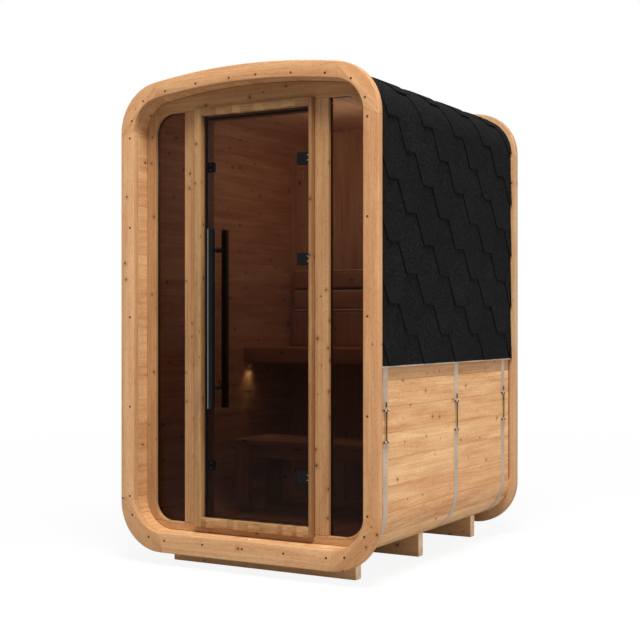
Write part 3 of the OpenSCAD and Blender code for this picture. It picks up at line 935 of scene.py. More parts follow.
@dataclass
class EndRing:
    """One end ring: four corner segments between straight members, screwed to the boards."""

    tube: Tube
    node: str
    wood: Finish
    edge: float = 0.0045
    slant: float = 0.014
    seam: float = 0.0004
    left_split: float = 0.018
    right_split: float = 0.037
    left_tones: tuple[float, ...] = (0.4, 0.1, 0.55, 0.35)
    right_tones: tuple[float, ...] = (1.0, 1.0, 1.0, 0.9)
    screw_in: float = 0.053
    screw_r: float = 0.0052
    screw_head: tuple[Point, ...] = ((1, 0), (1, 0.002), (0.92, 0.00225), (0.3, 0.00225), (0.2, 0.001))
    screw_drop: float = 0.024
    screw_pitch: float = 0.4066
    screw_out: float = 0.002
    top_xs: tuple[float, ...] = (0.069, 0.245, 0.411)
    foot_xs: tuple[float, ...] = (0.209, 0.416)

    def build(self) -> None:
        """Makes the ring's wood and its screws."""
        self.low, self.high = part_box(self.node)
        self.shape = Shape(50 + len(self.node))
        for side in Side:
            tones = self.left_tones if side is Side.LEFT else self.right_tones
            self.upright(side, tones[:2])
            self.corner(side, True, tones[2])
            self.corner(side, False, tones[3])
        self.top()
        self.foot()
        self.shape.piece(f"{self.node}_wood", "pine", [self.wood], [self.node])
        self.screws()

    def add(self, points: list[Point], eased: list[bool], side: Side, turn: float, tone: float) -> None:
        """Adds a segment drawn for the right side.

        Args:
            points: Its outline, counter-clockwise.
            eased: Which edges are rounded.
            side: Left segments mirror right ones.
            turn: Angle of the grain from X, for the right side.
            tone: Its tone.
        """
        if side is Side.LEFT:
            eased = eased[-2::-1] + eased[-1:]
            turn = math.pi - turn
        rule, span = self.shape.leaning(turn), (self.low.y, self.high.y)
        self.shape.prism(side.turn(points), span, Along.Y, self.edge, rule, tone, 3, eased)

    def upright(self, side: Side, tones: Sequence[float]) -> None:
        """Adds the outer and the inner strip of a straight side member.

        Args:
            side: Which side of the cabin.
            tones: The tones of the outer and the inner strip.
        """
        t, s = self.tube, self.slant
        split = t.half_w - (self.left_split if side is Side.LEFT else self.right_split)

        def joint(x: float, outer: float, inner: float, seam: float) -> Point:
            """Finds the point at x of a joint that slants from the ring's outer to its inner face."""
            return (x, outer + (inner - outer) * (t.half_w - x) / t.back + seam)

        low = (t.sole + t.corner_r + s, t.floor_z + t.corner_r - t.back - s / 2, self.seam)
        high = (t.corner_z - s, t.corner_z + s / 2, -self.seam)
        for x0, x1, outer, tone in ((split, t.half_w, True, tones[0]), (t.wall_x, split, False, tones[1])):
            points = [joint(x0, *low), joint(x1, *low), joint(x1, *high), joint(x0, *high)]
            self.add(points, [False, outer, False, not outer], side, SQUARE, tone)

    def corner(self, side: Side, upper: bool, tone: float) -> None:
        """Adds a corner segment, its grain across the corner.

        Args:
            side: Which side of the cabin.
            upper: Whether it joins the arched top, not the foot.
            tone: Its tone.
        """
        t, s = self.tube, self.slant
        tilt = math.asin(s / 2 / t.small)
        if upper:
            centre, end = (t.corner_x, t.corner_z), SQUARE - t.lean
            outer = [(t.half_w, t.corner_z - s), *arc(centre, t.corner_r, 0, end, 16)]
            outer.append(polar(t.crown_centre, t.crown_r, end + s / t.crown_r))
            first, last = polar(centre, t.small, end - s / 2 / t.small), polar(centre, t.small, tilt)
            curve = arc(centre, t.small, end, 0, 16)
            inner = [p for p in curve if p[0] > first[0] + 0.002 and p[1] >= last[1] - 1e-6]
        else:
            centre, heel = (t.corner_x, t.floor_z + t.small), (t.corner_x, t.sole + t.corner_r)
            outer = [(t.corner_x - s, t.sole), *arc(heel, t.corner_r, -SQUARE, 0, 16)]
            outer.append((t.half_w, heel[1] + s))
            first, last = polar(centre, t.small, -tilt), polar(centre, t.small, tilt - SQUARE)
            curve = arc(centre, t.small, 0, -SQUARE, 16)
            inner = [p for p in curve if p[1] <= first[1] and p[0] >= last[0]]
        eased = [True] * (len(outer) - 1) + [False] + [True] * (len(inner) + 1) + [False]
        self.add([*outer, first, *inner, last], eased, side, math.radians(-48 if upper else 44), tone)

    def top(self) -> None:
        """Adds the arched top member."""
        t, count = self.tube, 40
        far = t.lean - (self.slant + self.seam) / t.crown_r
        outer = arc(t.crown_centre, t.crown_r, SQUARE - far, SQUARE + far, count)
        inner = arc(t.crown_centre, t.crown_r - t.back, SQUARE + t.lean, SQUARE - t.lean, count)
        near = t.lean + (self.slant / 2 - self.seam) / t.small
        x, z = polar((t.corner_x, t.corner_z), t.small, SQUARE - near)
        eased = [True] * count + [False] + [True] * (count + 2) + [False]
        self.add([*outer, (-x, z), *inner, (x, z)], eased, Side.RIGHT, 0.0, 0.7)

    def foot(self) -> None:
        """Adds the straight foot member."""
        t = self.tube
        x, s = t.corner_x - self.slant - self.seam, self.slant / 2 - self.seam
        rise = t.floor_z + t.small - math.sqrt(t.small**2 - s**2)
        points = [(-x, t.sole), (x, t.sole), (t.corner_x + s, rise), (t.corner_x, t.floor_z)]
        points += [(-t.corner_x, t.floor_z), (-t.corner_x - s, rise)]
        self.add(points, [True, False, True, True, True, False], Side.RIGHT, 0.0, 0.0)

    def screw_places(self) -> list[Point]:
        """Lays out the screws: evenly along the members, two at each corner.

        Returns:
            Their places in X and Z.
        """
        t, reach = self.tube, self.tube.crown_r - self.screw_in
        x, z = t.half_w - self.screw_in + self.screw_out, t.sole + self.screw_in + self.screw_out
        right = [(x, t.corner_z - self.screw_drop - i * self.screw_pitch) for i in range(5)]
        for height, turns in ((t.corner_z, (19, 56)), (t.sole + t.corner_r, (-22, -68))):
            centre = (t.corner_x, height)
            right += [polar(centre, t.corner_r - self.screw_in, math.radians(turn)) for turn in turns]
        right += [(x, t.crown_centre[1] + math.sqrt(reach**2 - x**2)) for x in self.top_xs]
        right += [(x, z) for x in self.foot_xs]
        return [(side.value * x, z) for side in Side for x, z in right] + [(0.0, z)]

    def screws(self) -> None:
        """Adds the screw heads, each with a small recess."""
        front = self.node.startswith("front")
        face, way = (self.low.y, -1) if front else (self.high.y, 1)
        shape = Shape(60)
        profile = [(self.screw_r * wide, way * rise) for wide, rise in self.screw_head]
        for x, z in self.screw_places():
            shape.turned(profile, (x, face - way * 0.002, z), Along.Y, 18)
        shape.piece(f"{self.node}_screws", "galvanised", [Finish.SCREW])


# ---------------------------------------------------------------- front and back walls


@dataclass
class FrontWall:
    """The glazed front wall: head, foot, side strips, posts and both window panes."""

    tube: Tube
    edge: float = 0.003
    window_r: float = 0.09
    play: float = 0.0003
    head_play: float = 0.002
    post_split: float = 0.52
    post_edge: float = 0.0012
    post_seam: float = 0.0002
    nail_r: float = 0.0016
    nail_low: float = 0.16
    nail_pitch: float = 0.19
    nail_in: float = 0.011

    def build(self) -> None:
        """Makes the wall's pieces from the CAD's boxes."""
        frame_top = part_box("door_header")[1].z + self.head_play
        frame_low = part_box("door_threshold")[0].z
        self.panel("head", "panel", 1, frame_top, Shape(101), 0.45)
        self.panel("foot", "strip", -1, frame_low, Shape(102), 0.0)
        for side in Side:
            self.strip(side)
            self.post(side)
            self.pane(side)
        self.nails()

    def panel(self, place: str, word: str, way: int, notch: float, shape: Shape, tone: float) -> None:
        """Makes the part over or under the windows, notched for the door frame.

        Args:
            place: Its place in the wall, head or foot.
            word: What the piece is called.
            way: 1 if it lies over the windows, -1 under them.
            notch: Height of the notch's end.
            shape: An empty mesh.
            tone: Its tone.
        """
        low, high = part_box(f"front_wall_{place}")
        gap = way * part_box("right_post")[0].x
        edge = low.z if way > 0 else high.z
        room = self.tube.cabin()
        room = clip(room, 1, low=edge) if way > 0 else clip(room, 1, high=edge)
        panel = [p for p in room if way * (p[1] - edge) > 1e-6 or abs(p[0]) > abs(gap)]
        panel.sort(key=lambda p: -way * p[0])
        panel += [(-gap, edge), (-gap, notch), (gap, notch), (gap, edge)]
        shape.prism(panel, (low.y, high.y), Along.Y, self.edge, shape.straight(0, 2), tone)
        shape.piece(f"front_{place}_{word}", "pine", [Finish.WALL], [f"front_wall_{place}"])

    def strip(self, side: Side) -> None:
        """Makes the strip outside one window, with its rounded window corners.

        Args:
            side: Which side of the cabin.
        """
        node = f"front_wall_{side.word}"
        low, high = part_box(node)
        r = self.window_r
        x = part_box("right_window")[1].x + self.play - r
        room = clip(self.tube.cabin(0.012), 1, low.z, high.z)
        rim = sorted((p for p in room if p[0] > x + 0.001), key=lambda p: p[1])
        points = [(x, low.z), *rim, (x, high.z), *arc((x, high.z - r), r, SQUARE, 0, 10)[1:]]
        points += arc((x, low.z + r), r, 0, -SQUARE, 10)[:-1]
        shape = Shape(103 + side.value)
        shape.prism(side.turn(points), (low.y, high.y), Along.Y, self.edge, shape.straight(2, 0), 0.5)
        shape.piece(f"front_{side.word}_strip", "pine", [Finish.WALL], [node])

    def post(self, side: Side) -> None:
        """Makes one post, glued up from two strips.

        Args:
            side: Which side of the cabin.
        """
        node = f"{side.word}_post"
        low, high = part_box(node)
        shape = Shape(107 + side.value)
        split = low.x + (high.x - low.x) * self.post_split
        near, far = split - self.post_seam, split + self.post_seam
        shape.board(low, (near, high.y, high.z), Along.Z, self.post_edge, 0.62)
        shape.board((far, low.y, low.z), high, Along.Z, self.post_edge, 0.3)
        shape.piece(f"front_{node}", "pine", [Finish.WALL], [node])

    def pane(self, side: Side) -> None:
        """Makes one window pane.

        Args:
            side: Which side of the cabin.
        """
        node = f"{side.word}_window"
        low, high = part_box(node)
        r = self.window_r - self.play
        near, far = sorted((side.value * low.x, side.value * high.x))
        points = [(near, low.z), *arc((far - r, low.z + r), r, -SQUARE, 0, 14)]
        points += [*arc((far - r, high.z - r), r, 0, SQUARE, 14), (near, high.z)]
        shape = Shape(110)
        shape.prism(side.turn(points), (low.y, high.y), Along.Y, 0.0008)
        shape.reslot(pane_edge)
        shape.piece(f"{node}_pane", "tinted_glass", [Finish.GLASS, Finish.GLASS_EDGE], [node])

    def nails(self) -> None:
        """Adds the small nail heads beside both windows."""
        shape = Shape(112)
        low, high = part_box("left_window")
        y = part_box("left_post")[0].y + 0.002
        profile = [(self.nail_r, 0.0), (self.nail_r, -0.0021), (self.nail_r * 0.7, -0.0023)]
        for side in Side:
            for i in range(9):
                z = low.z + self.nail_low + i * self.nail_pitch
                for x, dz in ((-low.x + self.nail_in, 0.0), (-high.x - self.nail_in, 0.03)):
                    shape.turned(profile, (side.value * x, y, z + dz), Along.Y, 10)
        shape.piece("window_nails", "galvanised", [Finish.SCREW])


@dataclass
class DoorFrame:
    """Jambs with their stops, the finger-jointed header and threshold, and the brown seal."""

    edge: float = 0.002
    stop_w: float = 0.016
    frame_d: float = 0.036
    seal_t: float = 0.0045
    seal_lap: float = 0.001
    header_block: Point = (0.03, 0.075)
    threshold_block: Point = (0.016, 0.042)
    last_block: float = 0.015

    def build(self) -> None:
        """Makes the frame's pieces from the CAD's boxes."""
        self.door_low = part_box("door_threshold")[1].z
        self.door_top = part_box("door_header")[0].z + self.stop_w
        for side in Side:
            self.jamb(side)
        self.jointed("door_header", self.header_block, self.stop_w)
        self.jointed("door_threshold", self.threshold_block, 0.0)
        self.seal()

    def jamb(self, side: Side) -> None:
        """Makes one jamb with the stop behind the glass.

        Args:
            side: Which side of the cabin.
        """
        node = f"{side.word}_jamb"
        low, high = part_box(node)
        inner = high.x - self.stop_w if side is Side.LEFT else low.x + self.stop_w
        face, stop = (low.x, inner), (inner, high.x)
        if side is Side.RIGHT:
            face, stop = stop, face
        tone = 0.45 if side is Side.LEFT else 0.95
        shape = Shape(120 + side.value)
        shape.board((face[0], *low[1:]), (face[1], *high[1:]), Along.Z, self.edge, tone, 2)
        stop_low = (stop[0], low.y + self.frame_d, self.door_low)
        shape.board(stop_low, (stop[1], high.y, self.door_top), Along.Z, 0.001, 0.5)
        shape.piece(f"door_{node}", "frame_pine", [Finish.JAMB], [node])

    def jointed(self, node: str, block: Point, stop: float) -> None:
        """Makes a cross member from short blocks joined end to end.

        Args:
            node: The CAD node that it stands for.
            block: Shortest and longest block.
            stop: Height of the stop for the glass under it, or 0 for none.
        """
        low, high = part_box(node)
        shape = Shape(130 + len(node))
        x, z = low.x, low.z + stop
        outline = rounded_box((low.y, z), (high.y, high.z), self.edge, 2)
        while x < high.x - 1e-6:
            wide = min(shape.rng.uniform(*block), high.x - x)
            wide = high.x - x if high.x - x - wide < self.last_block else wide
            shape.prism(outline, (x, x + wide), Along.X, 0.00025, shape.straight(0, 2))
            x += wide
        if stop:
            stop_low = (low.x + stop, low.y + self.frame_d, z - stop)
            shape.board(stop_low, (high.x - stop, high.y, z), Along.X, 0.001)
        shape.piece(f"{node}_blocks", "frame_pine", [Finish.JAMB], [node])

    def seal(self) -> None:
        """Makes the brown seal on the stop, behind the glass's edges."""
        (left_low, left_high), (right_low, _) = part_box("left_jamb"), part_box("right_jamb")
        y1 = left_low.y + self.frame_d
        y0, low, top = y1 - self.seal_t, self.door_low, self.door_top
        x0, x1 = left_high.x - self.stop_w, right_low.x + self.stop_w
        shape = Shape(140)
        for low_corner, high_corner, along in (
            ((x0, y0, low), (left_high.x + self.seal_lap, y1, top), Along.Z),
            ((right_low.x - self.seal_lap, y0, low), (x1, y1, top), Along.Z),
            ((x0, y0, top - self.stop_w - self.seal_lap), (x1, y1, top), Along.X),
        ):
            shape.board(low_corner, high_corner, along, 0.0015, steps=3)
        shape.piece("door_seal", "black_metal", [Finish.SEAL])


@dataclass
class BackWall:
    """The closed back wall of upright boards."""

    tube: Tube
    count: int = 14
    edge: float = 0.0018

    def build(self) -> None:
        """Cuts each board to the room's outline."""
        low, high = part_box("back_wall")
        shape, room = Shape(150), self.tube.cabin()
        width = (high.x - low.x) / self.count
        for i in range(self.count):
            x = low.x + i * width
            part = clip(room, 0, x, x + width)
            shape.prism(part, (low.y, high.y), Along.Y, self.edge, shape.straight(2, 0))
        shape.piece("back_wall_boards", "pine", [Finish.BOARD], ["back_wall"])


# ---------------------------------------------------------------- door


@dataclass
class Door:
    """The glass door with its hinges, handles and catches."""

    hinge_h: float = 0.054
    middle_h: float = 0.018
    knuckle_r: float = 0.006
    pin_r: float = 0.0024
    leaf_w: float = 0.050
    leaf_t: float = 0.006
    back_leaf_t: float = 0.005
    leaf_edge: float = 0.0016
    small_edge: float = 0.0008
    leaf_gap: float = 0.0015
    cap_xs: Point = (0.013, 0.037)
    bush_h: float = 0.0028
    bush_play: float = 0.0005
    hinge_ups: tuple[float, ...] = (0.207, 1.139, 1.569)
    post_in: float = 0.092
    post_r: float = 0.008
    rosette: float = 0.004
    catch_ups: tuple[float, ...] = (0.227, 1.562)
    catch_h: float = 0.044
    magnet_up: float = 0.012

    def build(self) -> None:
        """Makes the moving door, then the parts fixed to the frame."""
        self.low, self.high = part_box("door_glass")
        low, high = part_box("hinge_leaves")
        self.axis = (high.x - self.knuckle_r, low.y + self.knuckle_r)
        self.glass()
        self.leaves()
        self.brackets()
        for node in ("outer_handle", "inner_handle"):
            self.handle(node)
        self.catches()

    def glass(self) -> None:
        """Makes the pane with its polished edges."""
        shape = Shape(160)
        shape.board(self.low, self.high, Along.Z, 0.0012)
        shape.reslot(pane_edge)
        shape.piece("door_pane", "tinted_glass", [Finish.GLASS, Finish.GLASS_EDGE], ["door_glass"], DOOR)

    def knuckle(self, shape: Shape, z0: float, z1: float) -> None:
        """Adds one barrel of a hinge, with chamfered ends, between two heights."""
        r, h, c = self.knuckle_r, z1 - z0, self.small_edge
        shape.turned([(r - c, 0), (r, c), (r, h - c), (r - c, h)], (*self.axis, z0), Along.Z, 28)

    def leaves(self) -> None:
        """Makes the hinges' moving halves: plates on both faces of the glass, with cover caps."""
        shape = Shape(161)
        front, back, t = self.low.y, self.high.y, self.leaf_t
        x1 = self.axis[0] - self.knuckle_r - self.leaf_gap
        x0 = x1 - self.leaf_w
        cap = [(0.0055, 0.0), (0.0055, -0.0009), (0.0048, -0.0014), (0.003, -0.0014), (0.0022, -0.0004)]
        for up in self.hinge_ups:
            z, h, k = self.low.z + up, self.hinge_h / 2, self.middle_h / 2
            shape.board((x0, front - t, z - h), (x1, front, z + h), Along.Z, self.leaf_edge, 0.5, 3)
            cover = (x1 - t, back + self.back_leaf_t, z + h)
            shape.board((x0, back, z - h), cover, Along.Z, self.leaf_edge, 0.5, 3)
            tongue = (x1 - 0.001, front - t, z - k)
            shape.board(tongue, (self.axis[0], front - 0.002, z + k), Along.Z, self.small_edge)
            self.knuckle(shape, z - k, z + k)
            for dx in self.cap_xs:
                shape.turned(cap, (x0 + dx, front - t, z), Along.Y, 22)
        shape.piece("hinge_plates", "black_metal", [Finish.BLACK], ["hinge_leaves"], DOOR)

    def brackets(self) -> None:
        """Makes the hinges' fixed halves: end barrels, washers and the plates on the jamb."""
        shape = Shape(162)
        x, y = self.axis
        r, b, c = self.knuckle_r, self.bush_h, 0.0004
        washer = [(r - 2 * c, 0), (r - c, c), (r - c, b - c), (r - 2 * c, b)]
        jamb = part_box("hinge_brackets")[1].x
        for up in self.hinge_ups:
            z, h, k = self.low.z + up, self.hinge_h / 2, self.middle_h / 2 + self.bush_play
            for z0, z1 in ((z - h, z - k - b), (z + k + b, z + h)):
                self.knuckle(shape, z0, z1)
                shape.board((x, y, z0), (jamb, y + r + 0.002, z1), Along.Z, self.small_edge)
            shape.board((jamb - 0.002, y + r + 0.001, z - h), (jamb, y + 0.023, z + h), Along.Z, 0.0006)
            for z0 in (z - k - b, z + k):
                shape.turned(washer, (x, y, z0), Along.Z, 24, 1)
            shape.turned([(self.pin_r, 0), (self.pin_r, 2 * h)], (x, y, z - h), Along.Z, 16, 1)
        shape.piece("hinge_barrels", "black_metal", [Finish.BLACK, Finish.ZINC], ["hinge_brackets"])

    def handle(self, node: str) -> None:
        """Makes one square bar on two round posts with rosettes at the glass.

        Args:
            node: The CAD node that it stands for.
        """
        low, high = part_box(node)
        (x0, x1), wide, e = (low.x, high.x), high.x - low.x, 0.002
        outer = low.y < self.low.y
        face = self.low.y if outer else self.high.y
        bar = low.y if outer else high.y - wide
        far = bar + wide
        shape = Shape(163)
        outline = [(x0, bar + e), (x0 + 3 * e, bar), (x1 - e, bar), (x1, bar + e)]
        outline += [(x1, far - e), (x1 - e, far), (x0 + e, far), (x0, far - e)]
        shape.prism(outline, (low.z, high.z), Along.Z, 0.001, shape.straight(2, 0), 0.5)
        # Slot 1 on the left front chamfer: a painted highlight on the outer bar.
        shape.reslot(lambda n: -0.6 < n.x < -0.15 and n.y < -0.8)
        gap = (far if outer else bar) - face
        r, way = self.post_r, math.copysign(self.rosette, gap)
        flange = r + self.rosette
        profile = [(flange, 0), (flange, way * 0.7), (flange - 0.001, way), (r, way), (r, gap)]
        for z in (low.z + self.post_in, high.z - self.post_in):
            shape.turned(profile, ((x0 + x1) / 2, face, z), Along.Y, 28)
        # The inner bar and its posts take the lighter coat as painted light.
        coats = [Finish.BLACK, Finish.BAR_EDGE] if outer else [Finish.INNER_BAR, Finish.INNER_BAR]
        shape.piece(f"{node}_bar", "black_metal", coats, [node], DOOR)

    def catches(self) -> None:
        """Makes the two catches behind the glass, each with its magnets."""
        low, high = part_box("door_catches")
        shape = Shape(164)
        magnet = [(0.005, 0), (0.005, -0.0008), (0.004, -0.001)]
        for up in self.catch_ups:
            z, h = self.low.z + up, self.catch_h / 2
            shape.board((low.x, low.y, z - h), (high.x, high.y, z + h), Along.Z, 0.002, 0.5, 3)
            for dz in (-self.magnet_up, self.magnet_up):
                shape.turned(magnet, ((low.x + high.x) / 2, low.y, z + dz), Along.Y, 18, 1)
        shape.piece("catch_blocks", "black_metal", [Finish.BLACK, Finish.ZINC], ["door_catches"])


# ---------------------------------------------------------------- benches


@dataclass
class Benches:
    """The two benches, the backrest, the panel behind the seat and the lamp."""

    tube: Tube
    slat_gap: float = 0.012
    edge: float = 0.004
    small_edge: float = 0.002
    fascia_t: float = 0.022
    bearer: float = 0.045
    seat_t: float = 0.027
    leg_w: float = 0.078
    leg_d: float = 0.040
    leg_set: float = 0.008
    leg_in: float = 0.023
    apron_t: float = 0.024
    apron_h: float = 0.060
    apron_set: float = 0.016
    apron_in: float = 0.030
    rail_t: float = 0.022
    rail_h: float = 0.097
    rail_in: float = 0.060
    rail_edge: float = 0.010
    batten_w: float = 0.060
    panel_count: int = 13
    panel_seam: float = 0.0003
    panel_edge: float = 0.0018
    cap_h: float = 0.018
    cap_edge: float = 0.009
    cap_out: float = 0.004

    def build(self) -> None:
        """Makes the benches' pieces from the CAD's boxes."""
        self.seat("upper_bench_seat", 4)
        self.seat("lower_bench_seat", 3)
        self.upper_frame()
        self.lower_frame()
        self.rails()
        self.panel()
        self.lamp()

    def seat(self, node: str, count: int) -> None:
        """Lays the boards of a seat with gaps between them.

        Args:
            node: The CAD node that they stand for.
            count: Number of boards.
        """
        low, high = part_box(node)
        shape = Shape(170 + count)
        width = (high.y - low.y - (count - 1) * self.slat_gap) / count
        for i in range(count):
            y = low.y + i * (width + self.slat_gap)
            shape.board((low.x, y, low.z), (high.x, y + width, high.z), Along.X, self.edge, steps=3)
        shape.piece(f"{node}_boards", "pine", [Finish.BENCH], [node])

    def upper_frame(self) -> None:
        """Makes the fascia and the bearers under the upper seat."""
        low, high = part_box("upper_bench_frame")
        shape = Shape(180)
        y, top = low.y + self.fascia_t, high.z - self.seat_t
        shape.board(low, (high.x, y, high.z), Along.X, self.edge, steps=3)
        for x in (low.x, -self.bearer / 2, high.x - self.bearer):
            shape.board((x, y, low.z), (x + self.bearer, high.y, top), Along.Y, self.small_edge)
        shape.piece("upper_bench_bearers", "pine", [Finish.BENCH], ["upper_bench_frame"])

    def lower_frame(self) -> None:
        """Makes the legs, cut to the curved corners, and the aprons."""
        seat_low, seat_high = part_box("lower_bench_seat")
        top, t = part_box("lower_bench_frame")[1].z, self.apron_t
        shape = Shape(181)
        x = self.tube.corner_x - self.leg_in
        leg = clip(clip(self.tube.cabin(0.008), 0, x, x + self.leg_w), 1, high=top)
        for side in Side:
            for y in (seat_low.y + self.leg_set, seat_high.y - self.leg_set - self.leg_d):
                span, rule = (y, y + self.leg_d), shape.straight(2, 0)
                shape.prism(side.turn(leg), span, Along.Y, self.small_edge, rule)
        reach, drop = seat_high.x - self.apron_in, top - self.apron_h
        y0, y1 = seat_low.y + self.apron_set, seat_high.y - self.apron_set
        for y in (y0, y1 - t):
            shape.board((-reach, y, drop), (reach, y + t, top), Along.X, self.small_edge)
        for x in (-reach, -t / 2, reach - t):
            shape.board((x, y0 + t, drop), (x + t, y1 - t, top), Along.Y, self.small_edge)
        shape.piece("lower_bench_legs", "pine", [Finish.BENCH], ["lower_bench_frame"])

    def rails(self) -> None:
        """Makes the two backrest rails on their battens."""
        low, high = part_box("backrest_rails")
        shape = Shape(182)
        y, wide = low.y + self.rail_t, self.batten_w
        for z in (low.z, high.z - self.rail_h):
            shape.board((low.x, low.y, z), (high.x, y, z + self.rail_h), Along.X, self.rail_edge, steps=3)
        for x in (low.x + self.rail_in, -wide / 2, high.x - self.rail_in - wide):
            shape.board((x, y, low.z), (x + wide, high.y, high.z), Along.Z, self.small_edge)
        self.lit(shape, "backrest_boards", "backrest_rails")

    def panel(self) -> None:
        """Makes the panel of upright boards behind the seat, under a cap strip."""
        low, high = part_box("back_panel")
        shape = Shape(183)
        top, width = high.z - self.cap_h, (high.x - low.x) / self.panel_count
        for i in range(self.panel_count):
            x0, x1 = low.x + i * width + self.panel_seam, low.x + i * width + width - self.panel_seam
            shape.board((x0, low.y + self.cap_out, low.z), (x1, high.y, top), Along.Z, self.panel_edge)
        shape.board((low.x, low.y, top), high, Along.X, self.cap_edge, 0.1, 3)
        self.lit(shape, "back_panel_boards", "back_panel")

    def lit(self, shape: Shape, name: str, node: str) -> None:
        """Ends a piece whose upper front edges take a pale finish, a painted highlight."""
        shape.reslot(upper_edge)
        shape.piece(name, "pine", [Finish.BENCH, Finish.PALE_EDGE], [node])

    def lamp(self) -> None:
        """Makes the small round lamp under the upper bench."""
        low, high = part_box("bench_lamp")
        shape = Shape(184)
        r, foot = (high.x - low.x) / 2, ((low.x + high.x) / 2, (low.y + high.y) / 2, low.z)
        body = [(r * 0.8, 0.001), (r * 0.84, 0), (r * 0.96, 0), (r, 0.001), (r, high.z - low.z)]
        shape.turned(body, foot, Along.Z, 32)
        shape.turned([(r * 0.3, -0.0005), (r * 0.78, 0.0006), (r * 0.79, 0.003)], foot, Along.Z, 32, 1)
        shape.piece("bench_lamp_body", "lamp", [Finish.ZINC, Finish.LENS], ["bench_lamp"])


# ---------------------------------------------------------------- roof cover


@dataclass
class Shingles:
    """Hexagonal bitumen shingles in overlapping courses over the top and sides, with the drip edge."""

    tube: Tube
    thick: float = 0.0032
    exposure: float = 0.1305
    drift: float = 0.0018
    least: float = 0.002
    slit: float = 0.0004
    overlap: float = 0.183
    period: float = 0.342
    flat: float = 0.099
    phase: float = 0.089
    jitter: float = 0.004
    curl: float = 0.0018
    crown_gap: float = 0.12
    end_gap: float = 0.0015
    back: float = 0.030
    row: float = 0.022
    ridge_half: float = 0.15
    ridge_lap: float = 0.145
    ridge_more: float = 0.05
    fold: float = 0.001

    def build(self) -> None:
        """Makes both sides' courses, the ridge caps and the drip edges."""
        low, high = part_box("shingle_cover")
        self.y0, self.y1 = low.y + self.end_gap, high.y - self.end_gap
        self.end = self.tube.length(self.back, low.z)
        self.tall = self.exposure + self.overlap
        self.rest = self.thick * self.tall / self.exposure
        for side in Side:
            shape = Shape(190 + side.value)
            self.starter(shape, side)
            level = 0
            while self.end - level * self.exposure > self.crown_gap:
                self.course(shape, side, level)
                level += 1
            replaces = ["shingle_cover"] if side is Side.RIGHT else []
            finishes = [Finish.GRANULES, Finish.CUT_BITUMEN]
            shape.piece(f"shingles_{side.word}", "bitumen", finishes, replaces, smooth=25)
        self.ridge()
        self.drip()

    def point(self, side: Side, y: float, run: float, lift: float) -> Vector:
        """Finds a point over the skin of one side."""
        x, z = self.tube.walk(self.back, max(run, 0.0), lift)
        return Vector((side.value * x, y, z))

    def slab(self, shape: Shape, side: Side, rows: Sequence[tuple[float, ...]], tone: float) -> None:
        """Adds one tab, granules on its upper face and near-black cut bitumen on the others; their darkness
        is partly the bitumen's own black, partly painted shade.

        Args:
            shape: The mesh.
            side: Which side of the roof.
            rows: For each row its run, its two ends along Y and its lift.
            tone: The tab's tone.
        """
        shift = Vector((shape.rng.uniform(0, 9), shape.rng.uniform(0, 9), 0))
        first, rings, places = len(shape.slots), [], []
        for run, a, b, lift in rows:
            corners = ((a, lift), (b, lift), (b, lift + self.thick), (a, lift + self.thick))
            rings.append([self.point(side, y, run, up) for y, up in corners])
            places += [Vector((y, run, up)) + shift for y, up in corners]
        order = iter(places)
        shape.skin(rings, lambda _: next(order), tone, 1)
        for row in range(len(rows) - 1):
            shape.slots[first + 4 * row + 2] = 0

    def course(self, shape: Shape, side: Side, level: int) -> None:
        """Adds one course of tabs.

        Args:
            shape: The mesh.
            side: Which side of the roof.
            level: The course's number, from the lowest.
        """
        bottom = self.end - level * self.exposure
        middle = self.phase + (level % 2) * self.period / 2 - level * self.drift
        start = math.floor((self.y0 - middle) / self.period) - 1
        cuts = {i * self.row for i in range(int(self.tall / self.row) + 1)}
        cuts |= {self.exposure - 0.001, self.exposure, self.tall}
        for k in range(start, start + 8):
            centre = middle + k * self.period + shape.rng.uniform(-self.jitter, self.jitter)
            raised = shape.rng.uniform(0.0, self.curl)
            rows = []
            for up in (up for up in sorted(cuts) if bottom - up >= 0.0):
                half = self.flat / 2 + min(up / self.exposure, 1.0) * (self.period - 2 * self.flat) / 2
                if up >= self.exposure:
                    half = self.period / 2 - self.slit
                a, b = max(centre - half, self.y0), min(centre + half, self.y1)
                if b - a > self.least:
                    lift = self.rest * (1 - up / self.tall) + raised * max(0.0, 1 - up / self.exposure)
                    rows.append((bottom - up, a, b, lift))
            if len(rows) > 1:
                self.slab(shape, side, rows, shape.rng.random())

    def starter(self, shape: Shape, side: Side) -> None:
        """Adds the straight starter strip under the lowest course.

        Args:
            shape: The mesh.
            side: Which side of the roof.
        """
        rows = []
        for share in (i / 10 for i in range(11)):
            lift = max(0.0, self.rest - self.thick) * (1 - share)
            rows.append((self.end - share * self.tall, self.y0, self.y1, lift))
        self.slab(shape, side, rows, 0.4)

    def ridge(self) -> None:
        """Bends cap shingles over the crown, each lapping the one behind it."""
        shape = Shape(195)
        for i in range(int((self.y1 - self.y0) / self.ridge_lap) + 1):
            start = self.y0 + i * self.ridge_lap
            end = min(start + self.ridge_lap + self.ridge_more, self.y1)
            rings = []
            for y, lift in ((start, self.rest + self.thick), (end, self.rest)):
                upper, lower = [], []
                for k in range(-6, 7):
                    side = Side.RIGHT if k >= 0 else Side.LEFT
                    run = abs(k) / 6 * self.ridge_half
                    upper.append(self.point(side, y, run, lift + self.thick + 0.001))
                    lower.append(self.point(side, y, run, lift + 0.001))
                rings.append(upper + lower[::-1])
            shape.skin(rings, lambda p: Vector((p.y, p.x, p.z)), shape.rng.random())
        shape.piece("ridge_caps", "bitumen", [Finish.GRANULES])

